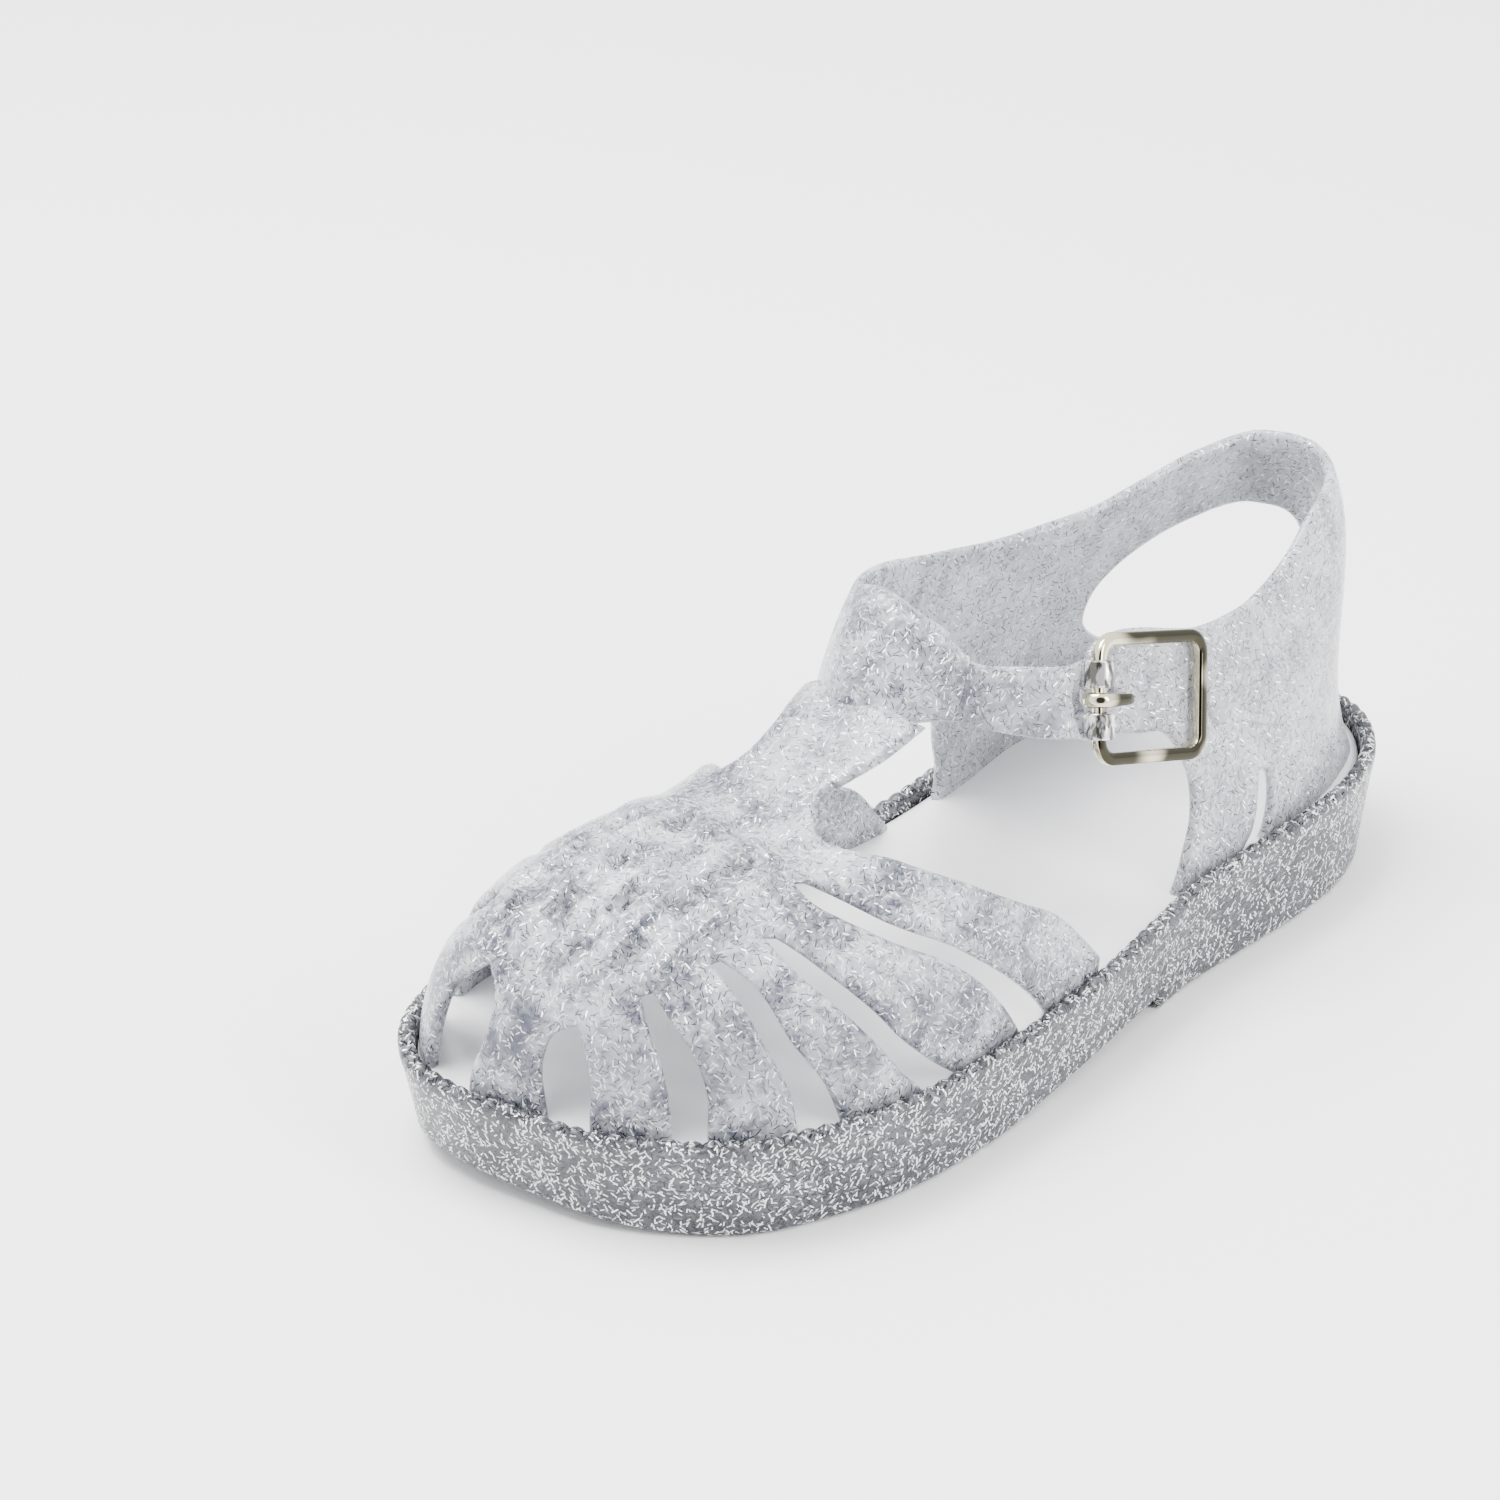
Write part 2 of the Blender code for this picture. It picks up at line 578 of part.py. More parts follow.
def cap(loop, height, spacing):
    """Points and triangles that close a ring, each at height(x, y)."""
    extra = grid_points([loop[:, :2]], spacing, 0.4)
    points, faces = triangulate([loop[:, :2]], extra)
    inner = points[len(loop):]
    lifted = np.column_stack([inner, height(inner[:, 0], inner[:, 1])])
    return lifted, faces


class Rings:
    """A solid made of stacked rings and two caps."""

    def __init__(self):
        self.vertices = []
        self.faces = []
        self.total = 0

    def add(self, ring):
        first = self.total
        self.vertices.append(ring)
        self.total += len(ring)
        return first

    def close(self, first, count, ring, height, spacing):
        inner, faces = cap(ring, height, spacing)
        start = self.add(inner)
        index = np.concatenate([np.arange(count) + first, np.arange(len(inner)) + start])
        self.faces += [tuple(index[list(f)]) for f in faces]

    def build(self, name, mat):
        return add_object(name, np.vstack(self.vertices), self.faces, mat)


def make_outsole(mat):
    """Flatform sole with a seat for the footbed inside a ribbed rim."""
    n = STATIONS
    rings = Rings()
    sole_edge = ring_at(SIDE_DRAFT + EDGE_ROUND, ground)
    below = rings.add(sole_edge)
    side = (
        ring_at(SIDE_DRAFT + 0.2 * EDGE_ROUND, lambda y: ground(y) + 0.35 * EDGE_ROUND),
        ring_at(SIDE_DRAFT, lambda y: ground(y) + 1.2 * EDGE_ROUND),
        ring_at(0.2 * SIDE_DRAFT, lambda y: 0.72 * rim_height(y)),
        ring_at(0.0, lambda y: rim_height(y) - 1.5 * RIM_SHOULDER),
    )
    last = below
    for ring in side:
        current = rings.add(ring)
        rings.faces += bridge(last, current, n)
        last = current
    wave = np.where(np.arange(n * CREST_STEPS) % 2 == 0, RIB_RISE, -RIB_RISE)
    crest = []
    for inset in (RIM_SHOULDER, RIM_WIDTH - RIM_SHOULDER):
        ring = ring_at(inset, rim_height, RIM.fine)
        ring[:, 2] += wave
        crest.append(rings.add(ring))
    rings.faces += fan_bridge(last, crest[0], n, CREST_STEPS)
    rings.faces += bridge(crest[0], crest[1], n * CREST_STEPS)
    inner_top = rings.add(ring_at(RIM_WIDTH, lambda y: rim_height(y) - 1.5 * RIM_SHOULDER))
    rings.faces += fan_bridge(inner_top, crest[1], n, CREST_STEPS)
    seat = ring_at(RIM_WIDTH, lambda y: seat_height(y))
    floor = rings.add(seat)
    rings.faces += bridge(inner_top, floor, n)
    rings.close(floor, n, seat, lambda x, y: seat_height(y), 3 * GRID)
    levels = (HEEL_STEP_AT * LENGTH, HEEL_STEP_AT * LENGTH + STEP_RUN)
    close_underside(rings, below, sole_edge, levels)
    return rings.build("outsole", mat)


def close_underside(rings, first, edge, levels):
    """Closes the underside, with rows of points along the step in front of the heel block."""
    loop = edge[:, :2]
    extra = grid_points([loop], 2 * GRID, 0.4)
    extra = extra[np.min([np.abs(extra[:, 1] - level) for level in levels], axis=0) > GRID / 3]
    rows = []
    for level in levels:
        off = np.abs(loop[:, 1] - level)
        sides = [loop[half][np.argmin(off[half]), 0] for half in (loop[:, 0] < 0, loop[:, 0] > 0)]
        x = np.linspace(sides[0], sides[1], 7)[1:-1]
        rows.append(np.column_stack([x, np.full(len(x), level)]))
    points, faces = triangulate([loop], np.vstack([extra, *rows]))
    inner = points[len(loop):]
    start = rings.add(np.column_stack([inner, ground(inner[:, 1])]))
    index = np.concatenate([np.arange(len(loop)) + first, np.arange(len(inner)) + start])
    rings.faces += [tuple(index[list(f)]) for f in faces]


def bed_height(y):
    return rim_height(y) - RIM_OVER_BED


def seat_height(y):
    return bed_height(y) - BED_THICK - CLEARANCE


def make_insole(mat):
    """Bare footbed: its lip rests on the flange of the upper, its core fills the seat."""
    n = STATIONS
    rings = Rings()
    core_inset = FLANGE_INSET + FLANGE_WIDTH + CLEARANCE
    top = ring_at(BED_INSET + 0.0004, bed_height)
    stack = (
        top,
        ring_at(BED_INSET, lambda y: bed_height(y) - 0.0004),
        ring_at(BED_INSET, lambda y: bed_height(y) - BED_LIP),
        ring_at(core_inset, lambda y: bed_height(y) - BED_LIP),
        ring_at(core_inset, lambda y: bed_height(y) - BED_THICK),
    )
    starts = [rings.add(ring) for ring in stack]
    for lower, upper in zip(starts, starts[1:]):
        rings.faces += bridge(upper, lower, n)

    def dished(x, y):
        edge = clearance([top[:, :2]], np.column_stack([x, y]))
        return bed_height(y) - BED_DISH * smooth_step(edge, 0.0, 0.016)

    rings.close(starts[0], n, top, dished, 2 * GRID)
    rings.close(starts[-1], n, stack[-1], lambda x, y: bed_height(y) - BED_THICK, 3 * GRID)
    return rings.build("insole", mat)


def make_flange():
    """Band round the foot of the upper, moulded with it and held between sole and footbed."""
    n = STATIONS
    rings = Rings()
    low = BED_THICK
    high = BED_LIP + CLEARANCE
    inner = FLANGE_INSET + FLANGE_WIDTH
    starts = [
        rings.add(ring_at(inset, lambda y, d=drop: bed_height(y) - d))
        for inset, drop in ((FLANGE_INSET, low), (FLANGE_INSET, high), (inner, high), (inner, low))
    ]
    for k in range(4):
        rings.faces += bridge(starts[k], starts[(k + 1) % 4], n)
    return rings.build("flange_piece", None)


def weave_rise(across, along):
    """Height of the weave above the wall: strips along the foot, and cross strips that pass under every second."""
    column = (across - MIDLINE * BALL) / STRIP_PITCH
    near = np.round(column)
    start, end = WEAVE_FROM * LENGTH, WEAVE_TO * LENGTH
    in_weave = (np.abs(near) <= STRIPS // 2) & (along < end) & (along > start)
    from_centre = np.abs(column - near) * STRIP_PITCH
    strip = 1 - smooth_step(from_centre, 0.32 * STRIP_WIDTH, 0.60 * STRIP_WIDTH)
    fade = smooth_step(along, start, start + 0.025 * LENGTH) * (1 - smooth_step(along, end - 0.04 * LENGTH, end))
    row = along / ROW_PITCH
    over = 0.5 + 0.5 * np.cos(2 * math.pi * (row + 0.5 * near) / 2)
    cell = np.floor(column)
    cross = 0.5 + 0.5 * np.cos(2 * math.pi * (row + 0.5 * (cell % 2) * 2) / 2)
    recess = -0.5 * (1 - strip) * (1 - cross)
    return np.where(in_weave, STRIP_RISE * fade * (strip * (0.75 + 0.35 * over) + recess), 0.0)


def weave_points():
    """Pattern points along the edges and middles of the strips."""
    columns = []
    for k in range(-(STRIPS // 2), STRIPS // 2 + 1):
        for part in (-0.60, -0.28, 0.28, 0.60):
            columns.append(MIDLINE * BALL + k * STRIP_PITCH + part * STRIP_WIDTH)
    rows = np.arange(WEAVE_FROM * LENGTH, WEAVE_TO * LENGTH, ROW_PITCH / 2)
    x, y = np.meshgrid(columns, rows)
    return np.column_stack([x.ravel(), y.ravel()])


def weave_holes():
    """Small diamond openings where the weave leaves its recesses."""
    holes = []
    for cell in range(-(STRIPS // 2), STRIPS // 2):
        middle = MIDLINE * BALL + (cell + 0.5) * STRIP_PITCH
        for row in range(-13, -7):
            if (row + cell) % 2:
                continue
            centre = row * ROW_PITCH
            r = WEAVE_HOLE
            holes.append(np.array([
                (middle + r, centre), (middle, centre + 1.6 * r), (middle - r, centre), (middle, centre - 1.6 * r),
            ]))
    return holes


def slot_loop(rails, mirror):
    """One slot of the cage, run down the wall to the level of the footbed's edge."""
    front, back = (open_curve(np.array(rail) * (BALL, LENGTH), EDGE_STEP) for rail in rails)
    if mirror:
        for rail in (front, back):
            rail[:, 0] = 2 * MIDLINE * BALL - rail[:, 0]
    stop = RIM_OVER_BED + 0.5 * BED_LIP
    cut = []
    for rail in (front, back):
        feet = VAMP.foot(rail[:, 0], rail[:, 1], stop)
        centre = np.array([0.0, VAMP.centre])
        fan = rail[:, 1] < VAMP.centre
        length = np.where(fan, np.linalg.norm(rail - centre, axis=1), np.abs(rail[:, 0]))
        limit = np.where(fan, np.linalg.norm(feet - centre, axis=1), np.abs(feet[:, 0]))
        inner = rail[length < limit - 0.3 * EDGE_STEP]
        at = np.interp(0.0, (length - limit), np.arange(len(rail)))
        k = int(at)
        end = rail[k] + (rail[min(k + 1, len(rail) - 1)] - rail[k]) * (at - k)
        cut.append(np.vstack([inner, VAMP.foot(end[0], end[1], stop)]))
    front, back = cut
    same_start = np.linalg.norm(front[0] - back[0]) < 1e-6
    loop = np.vstack([front, back[::-1][:-1] if same_start else back[::-1]])
    middle = VAMP.foot(*(0.5 * (front[-1] + back[-1])), stop)
    return np.insert(loop, len(front), middle, axis=0)


def cage_outline():
    """Edge of the cage pattern: round the toe at the foot of its wall, and over the T-bar."""
    outer = open_curve(np.array(CAGE_BACK_OUTER) * (BALL, LENGTH), EDGE_STEP)
    inner = open_curve(np.array(CAGE_BACK_INNER) * (BALL, LENGTH), EDGE_STEP)
    drop = RIM_OVER_BED + BED_THICK - 0.0005
    centre = np.array([0.0, VAMP.centre])

    def clip(rail):
        feet = VAMP.foot(rail[:, 0], rail[:, 1], drop)
        return rail[np.abs(rail[:, 0]) < np.abs(feet[:, 0]) - 0.3 * EDGE_STEP]

    outer = clip(outer)
    inner = clip(inner)
    sides = []
    for rail, end in ((outer, 0), (inner, -1)):
        start = rail[end][1]
        sign = np.sign(rail[end][0])
        along = np.arange(start, VAMP.centre, -EDGE_STEP)
        sides.append(VAMP.foot(np.full(len(along), sign * 0.03), along, drop))
    turns = np.linspace(0.0, -math.pi, 46)
    toe = VAMP.foot(centre[0] + 0.03 * np.cos(turns), centre[1] - 1e-6 + 0.03 * np.sin(turns), drop)
    loop = np.vstack([inner, sides[1], toe[::-1], sides[0][::-1], outer])
    keep = np.linalg.norm(loop - np.roll(loop, 1, axis=0), axis=1) > MIN_SPACING
    return loop[keep]


def make_cage():
    """Toe cap, weave, side straps and T-bar as one wall."""
    outline = cage_outline()
    slots = [slot_loop(rails, mirror) for rails in SLOTS for mirror in (False, True)]
    holes = weave_holes()
    loops = [outline, *slots, *holes]
    weave = weave_points()
    weave = weave[inside(outline, weave) & (clearance(loops, weave) > 0.0009)]
    for slot in slots:
        weave = weave[~inside(slot, weave)]
    grid = grid_points([outline, *slots], GRID)
    off = np.array([np.min(np.linalg.norm(weave - p, axis=1)) for p in grid])
    grid = grid[off > 0.6 * GRID]
    inside_face = lambda a, b: np.full(len(a), -WALL)
    return thick_sheet("upper", VAMP, loops, np.vstack([weave, grid]), weave_rise, inside_face, MATERIALS["upper"])


def on_quarter(points):
    return np.array(points) * (QUARTERS.length, COLLAR)


def strap_lift(around):
    """How far the end of the ankle strap lies outside the tongue below it."""
    share = around / QUARTERS.length
    return (WALL + 2 * CLEARANCE) * smooth_step(share, LIFT_FROM, LIFT_FULL)


def strap_end():
    """The strap's end against the back of the sleeve, with a notch for the prong's eye."""
    end = (1 + SLEEVE_AT[0]) * QUARTERS.length - WIRE / 2 - CLEARANCE - 0.4 * SLEEVE_WALL
    middle = SLEEVE_AT[1] * COLLAR
    notch = PRONG_GAP / 2
    deep = end - NOTCH_DEPTH
    low = middle - SLEEVE_LENGTH / 2
    high = middle + SLEEVE_LENGTH / 2
    heights = ((end, low), (end, middle - notch), (deep, middle - notch), (deep, middle + notch))
    return np.array([*heights, (end, middle + notch), (end, high)])


def quarter_outline():
    """Edge of heel, collar and strap, from the tongue round the heel to the strap's end at the sleeve."""
    foot = RIM_OVER_BED + BED_THICK - 0.0005
    front = open_curve(on_quarter(TONGUE_AND_FRONT), EDGE_STEP)
    inner = open_curve(on_quarter(INNER_FRONT), EDGE_STEP)
    top = open_curve(on_quarter(STRAP_TOP), EDGE_STEP)
    around = np.arange(front[-1, 0] + EDGE_STEP, inner[0, 0] - 0.5 * EDGE_STEP, EDGE_STEP)
    base = np.column_stack([around, np.full(len(around), front[-1, 1])])
    loop = np.vstack([front, base, inner, strap_end(), top])
    low = loop[:, 1] <= front[-1, 1] + 1e-6
    y = QUARTERS.point(loop[:, 0], loop[:, 1])[:, 1]
    loop[low, 1] = rim_height(y[low]) - foot
    return loop


def make_quarter(prong_hole):
    """Heel counter, collar, tongue and ankle strap as one wall."""
    outline = quarter_outline()
    loops = [outline, fine_loop(on_quarter(WINDOW)), fine_loop(on_quarter(HEEL_SLIT)), prong_hole]
    extra = grid_points(loops, 1.25 * GRID, 0.4)
    return thick_sheet(
        "quarter_piece", QUARTERS, loops, extra,
        lambda a, b: strap_lift(a), lambda a, b: strap_lift(a) - WALL, None,
    )


def make_strap_root():
    """Raised end of the fastening strap on the heel counter."""
    loop = closed_curve(on_quarter(STRAP_ROOT), 16)
    extra = grid_points([loop], 1.25 * GRID, 0.4)
    return thick_sheet(
        "root_piece", QUARTERS, [loop], extra,
        lambda a, b: np.full(len(a), 0.30 * WALL), lambda a, b: np.full(len(a), -0.5 * WALL), None,
    )


def edge_height(table, share):
    rows = sorted(table)
    return np.interp(share, [r[0] for r in rows], [r[1] for r in rows]) * COLLAR


def make_loop():
    """Folded end of the T-bar, a flat sleeve round the ankle strap."""
    shares = np.linspace(*LOOP_ENDS, 11)
    low = edge_height([p for p in INNER_FRONT if p[0] > 0.64], shares)
    high = edge_height([p for p in STRAP_TOP if p[0] > 0.5], shares)
    space = CLEARANCE
    thick = WALL
    hole = ((space, 0), (space, 1), (-WALL - space, 1), (-WALL - space, 0))
    skin = (
        (space + thick, 0.08), (space + 0.95 * thick, 0.85), (space + 0.3 * thick, 1), (-WALL / 2, 1.0),
        (-WALL - space - 0.5 * thick, 1), (-WALL - space - thick, 0.8), (-WALL - space - thick, 0.1),
        (-WALL - space - 0.4 * thick, 0), (space + 0.6 * thick, 0),
    )
    vertices = []
    for share, bottom, top in zip(shares, low, high):
        around = share * QUARTERS.length
        for points, margin in ((hole, space), (skin, space + thick)):
            for out, up in points:
                z = (bottom - margin) + up * (top - bottom + 2 * margin)
                if out == -WALL / 2:
                    z += 0.25 * thick
                point, _ = offset_point(QUARTERS, [around], [z], [out])
                vertices.append(point[0])
    size = len(hole) + len(skin)
    faces = []
    for k in range(len(shares) - 1):
        for first, count in ((0, len(hole)), (len(hole), len(skin))):
            for i in range(count):
                j = (i + 1) % count
                a, b = k * size + first + i, k * size + first + j
                faces += [(a, b, b + size), (a, b + size, a + size)]
    for k in (0, len(shares) - 1):
        rim = [np.array([out, up]) for out, up in skin]
        inner = [np.array([out * 0.9, 0.12 + 0.76 * up]) for out, up in hole]
        points, ends = triangulate([np.array(rim), np.array(inner)], np.empty((0, 2)))
        order = [len(hole) + i for i in range(len(skin))] + list(range(len(hole)))
        faces += [tuple(k * size + order[i] for i in f) for f in ends]
    return add_object("loop_piece", vertices, faces, None)


class Seat:
    """Plane of the buckle: its front bar in the sleeve, its rear bar on the tongue."""

    def __init__(self):
        a0, z0 = SLEEVE_AT[0] * QUARTERS.length, SLEEVE_AT[1] * COLLAR
        a1, z1 = FRAME_END_AT[0] * QUARTERS.length, FRAME_END_AT[1] * COLLAR
        front_out = CLEARANCE + WALL + CLEARANCE + 0.5 * WIRE
        rear_out = 1.3 * CLEARANCE + 0.5 * WIRE
        front, _ = offset_point(QUARTERS, [a0], [z0], [front_out])
        rear, normal = offset_point(QUARTERS, [a1], [z1], [rear_out])
        self.front = Vector(front[0])
        along = (Vector(rear[0]) - self.front).normalized()
        out = Vector(normal[0])
        out = (out - out.dot(along) * along).normalized()
        across = out.cross(along)
        self.matrix = Matrix((along, across, out)).transposed().to_4x4()
        self.matrix.translation = self.front

    def pattern_hole(self):
        """Loop of the prong's hole in the tongue's pattern."""
        target = self.matrix @ Vector((PRONG_REACH - 0.0004, 0.0, 0.0))
        best = None
        for a in np.linspace(-0.06, 0.05, 111) * QUARTERS.length:
            for z in np.linspace(0.62, 0.82, 61) * COLLAR:
                if best is None or (Vector(QUARTERS.point([a], [z])[0]) - target).length < best[0]:
                    best = ((Vector(QUARTERS.point([a], [z])[0]) - target).length, a, z)
        turns = np.linspace(0, 2 * math.pi, 8, endpoint=False)
        return np.column_stack([best[1] + PRONG_HOLE * np.cos(turns), best[2] + PRONG_HOLE * np.sin(turns)])


def tube(path, radii, sides, closed):
    """A round tube along a path, with each point's radius; closed into a ring or ended with flat caps."""
    path = [Vector(p) for p in path]
    count = len(path)
    vertices = []
    for i, here in enumerate(path):
        ahead = path[(i + 1) % count] if closed or i < count - 1 else here
        behind = path[i - 1] if closed or i > 0 else here
        along = (ahead - behind).normalized()
        side = along.cross(Vector((0, 0, 1)))
        if side.length < 0.1:
            side = Vector((0, 1, 0))
        side.normalize()
        up = side.cross(along).normalized()
        for k in range(sides):
            turn = 2 * math.pi * (k + 0.5) / sides
            wide, thick = radii[i] if isinstance(radii[i], tuple) else (radii[i], radii[i])
            vertices.append(here + side * (math.cos(turn) * wide) + up * (math.sin(turn) * thick))
    faces = []
    for i in range(count if closed else count - 1):
        faces += [
            (a % (count * sides), b % (count * sides), (b + sides) % (count * sides), (a + sides) % (count * sides))
            for a, b in ((i * sides + k, i * sides + (k + 1) % sides) for k in range(sides))
        ]
    if not closed:
        faces.append(tuple(range(sides)))
        faces.append(tuple(range((count - 1) * sides, count * sides)))
    return vertices, faces


def frame_path():
    """Rounded rectangle of the buckle's wire in its own plane, front bar at the origin."""
    half = FRAME_WIDTH / 2
    points = []
    corners = ((FRAME_LENGTH, half, 0), (0.0, half, 90), (0.0, -half, 180), (FRAME_LENGTH, -half, 270))
    for x, y, start in corners:
        cx = x - math.copysign(FRAME_CORNER, x - FRAME_LENGTH / 2)
        cy = y - math.copysign(FRAME_CORNER, y)
        for k in range(5):
            turn = math.radians(start + 22.5 * k)
            points.append((cx + FRAME_CORNER * math.cos(turn), cy + FRAME_CORNER * math.sin(turn), 0.0))
        if start in (0, 180):
            points.append((FRAME_LENGTH / 2, y, 0.0))
        else:
            points.append((x, 0.0, 0.0))
    return points


def make_frame(seat, mat):
    """Square nickel frame."""
    path = frame_path()
    vertices, faces = tube(path, [WIRE / 2] * len(path), 8, True)
    obj = add_object("buckle_frame", vertices, faces, mat)
    obj.matrix_world = seat.matrix
    return obj


def make_sleeve(seat):
    """Two short tubes at the strap's end that hold the frame's front bar, with a notch for the prong."""
    made = []
    bore = WIRE / 2 + CLEARANCE
    length = (SLEEVE_LENGTH - PRONG_GAP) / 2
    for side in (-1, 1):
        vertices = []
        faces = []
        sides = 12
        for y in (side * PRONG_GAP / 2, side * (PRONG_GAP / 2 + length)):
            for radius in (bore, bore + SLEEVE_WALL):
                for k in range(sides):
                    turn = 2 * math.pi * (k + 0.5) / sides
                    vertices.append((radius * math.cos(turn), y, radius * math.sin(turn)))
        for k in range(sides):
            j = (k + 1) % sides
            inner0, outer0, inner1, outer1 = (r * sides for r in range(4))
            faces += [
                (inner0 + k, inner0 + j, inner1 + j, inner1 + k),
                (outer0 + j, outer0 + k, outer1 + k, outer1 + j),
                (inner0 + j, inner0 + k, outer0 + k, outer0 + j),
                (inner1 + k, inner1 + j, outer1 + j, outer1 + k),
            ]
        obj = add_object(f"sleeve_piece_{side + 1}", vertices, faces, None)
        obj.matrix_world = seat.matrix
        made.append(obj)
    return made


def make_prong(seat, mat):
    """Prong: an eye round the front bar and a tongue that dips into the strap's hole."""
    eye = WIRE / 2 + CLEARANCE + PRONG_THICK / 2
    flat = (PRONG_WIDE / 2, PRONG_THICK / 2)
    path = [(eye * math.cos(math.radians(d)), 0.0, eye * math.sin(math.radians(d))) for d in range(320, 80, -30)]
    radii = [flat] * len(path)
    for share, up in PRONG_PATH:
        path.append((share * PRONG_REACH, 0.0, up * eye))
        radii.append((flat[0] * (1 - 0.30 * share), flat[1] * (1 - 0.15 * share)))
    vertices, faces = tube_in_plane(path, radii, 8)
    obj = add_object("buckle_prong", vertices, faces, mat)
    obj.matrix_world = seat.matrix
    return obj


def tube_in_plane(path, radii, sides):
    """A tube whose path stays in the plane y = 0, wide along y."""
    vertices = []
    count = len(path)
    for i, here in enumerate(path):
        ahead = Vector(path[min(i + 1, count - 1)])
        behind = Vector(path[max(i - 1, 0)])
        along = (ahead - behind).normalized()
        up = along.cross(Vector((0, 1, 0))).normalized()
        for k in range(sides):
            turn = 2 * math.pi * (k + 0.5) / sides
            offset = Vector((0, 1, 0)) * (math.cos(turn) * radii[i][0]) + up * (math.sin(turn) * radii[i][1])
            vertices.append(Vector(here) + offset)
    faces = []
    for i in range(count - 1):
        for k in range(sides):
            j = (k + 1) % sides
            faces.append((i * sides + k, i * sides + j, (i + 1) * sides + j, (i + 1) * sides + k))
    faces.append(tuple(range(sides)))
    faces.append(tuple(range((count - 1) * sides, count * sides)))
    return vertices, faces


def join_into(body, pieces):
    """Boolean unions of the pieces into the body; the pieces stay as hidden guides."""
    for piece in pieces:
        piece.hide_render = True
        piece.display_type = "WIRE"
        union = body.modifiers.new(piece.name, "BOOLEAN")
        union.operation = "UNION"
        union.solver = "EXACT"
        union.object = piece


def clear_scene():
    for obj in list(bpy.data.objects):
        bpy.data.objects.remove(obj, do_unlink=True)


clear_scene()
MATERIALS = {
    "outsole": material("glitter_sole", (0.42, 0.43, 0.47), 0.2, 0.35),
    "insole": material("pearl_footbed", (0.86, 0.86, 0.88), 0.0, 0.30),
    "upper": material("glitter_jelly", (0.74, 0.75, 0.80), 0.1, 0.25, 0.3),
    "nickel": material("polished_nickel", (0.78, 0.76, 0.72), 1.0, 0.12),
}


def main():
    seat = Seat()
    make_outsole(MATERIALS["outsole"])
    make_insole(MATERIALS["insole"])
    upper = make_cage()
    pieces = [make_flange(), make_quarter(seat.pattern_hole()), make_loop(), make_strap_root(), *make_sleeve(seat)]
    join_into(upper, pieces)
    make_frame(seat, MATERIALS["nickel"])
    make_prong(seat, MATERIALS["nickel"])


main()
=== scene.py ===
"""Looks of a child's left jelly sandal: glitter sole, pearl footbed, woven clear upper and nickel buckle.

Metres. The toe points to -Y, the outer side of the foot to +X, and the sole stands on z = 0.
"""

import math

import bmesh
import bpy
import numpy as np
from bpy.props import FloatProperty, FloatVectorProperty, PointerProperty
from bpy.types import Operator, Panel, PropertyGroup
from mathutils import Matrix, Vector
from mathutils.geometry import delaunay_2d_cdt


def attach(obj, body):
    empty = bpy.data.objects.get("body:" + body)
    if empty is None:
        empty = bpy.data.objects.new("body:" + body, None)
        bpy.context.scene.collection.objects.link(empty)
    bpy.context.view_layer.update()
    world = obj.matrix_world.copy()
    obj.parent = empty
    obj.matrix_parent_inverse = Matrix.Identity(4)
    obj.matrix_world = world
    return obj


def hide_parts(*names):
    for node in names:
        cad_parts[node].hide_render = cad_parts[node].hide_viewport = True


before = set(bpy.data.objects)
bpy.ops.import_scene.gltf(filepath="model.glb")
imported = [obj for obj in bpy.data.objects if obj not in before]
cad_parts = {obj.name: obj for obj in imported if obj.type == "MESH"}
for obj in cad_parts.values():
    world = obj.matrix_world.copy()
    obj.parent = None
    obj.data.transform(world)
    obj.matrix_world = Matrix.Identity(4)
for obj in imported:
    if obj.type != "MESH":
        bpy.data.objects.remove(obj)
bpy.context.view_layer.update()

bl_info = {
    "name": "Jelly Sandal",
    "version": (1, 0, 0),
    "blender": (4, 5, 0),
    "location": "View3D > Sidebar > Sandal",
    "description": "Builds the pieces, finishes and stage of a jelly sandal",
    "category": "Add Mesh",
}

# Driving sizes of the shoe
LENGTH = 0.162
BALL = 0.069
SOLE_FORE = 0.0155
SOLE_HEEL = 0.0185
INSTEP = 0.0415
COLLAR = 0.0620
WALL = 0.0018
CLEARANCE = 0.0003

# Sole: side draft, edge round, toe spring, arch and the ribbed crest of its rim. Places are shares of LENGTH.
SIDE_DRAFT = 0.0018
EDGE_ROUND = 0.0010
TOE_SPRING = 0.0028
ARCH_RISE = 0.0022
STEP_RUN = 0.0005
RIM_WIDTH = 0.0023
RIM_ROUND = 0.0009
RIM_GROOVE = 0.0019
RIM_OUTER_LIP = 0.0013
RIM_INNER_LIP = 0.0014
RIM_RISE_FROM = -0.117
RIM_RISE_TO = 0.377
RIB_RISE = 0.00028
RIB_SWELL = 1.3
RIB_LEVEL = 1.25
RIB_SAMPLES = 8
RIM_OVER_BED = 0.0020
HEEL_STEP_AT = 0.118
ARCH_FROM = -0.130
ARCH_RUN = 0.17
TOE_SPRING_FROM = -0.380

# Footbed, and the foot of the upper's wall below its edge
BED_THICK = 0.0024
BED_LIP = 0.0010
BED_GAP = 0.0003
BED_DISH = 0.0006
BED_DISH_RUN = 0.016
WALL_INSET = 0.0027
FOOT_SHORT = 0.0005
FOOT_DROP = RIM_OVER_BED + BED_THICK - FOOT_SHORT

# Edge of the footbed, from its top to its lip: how far in from the outermost line, and how far down
BED_EDGE = ((0.0016, 0.0), (0.0009, 0.00004), (0.0003, 0.0002), (0.0, 0.0006), (0.0, BED_LIP))

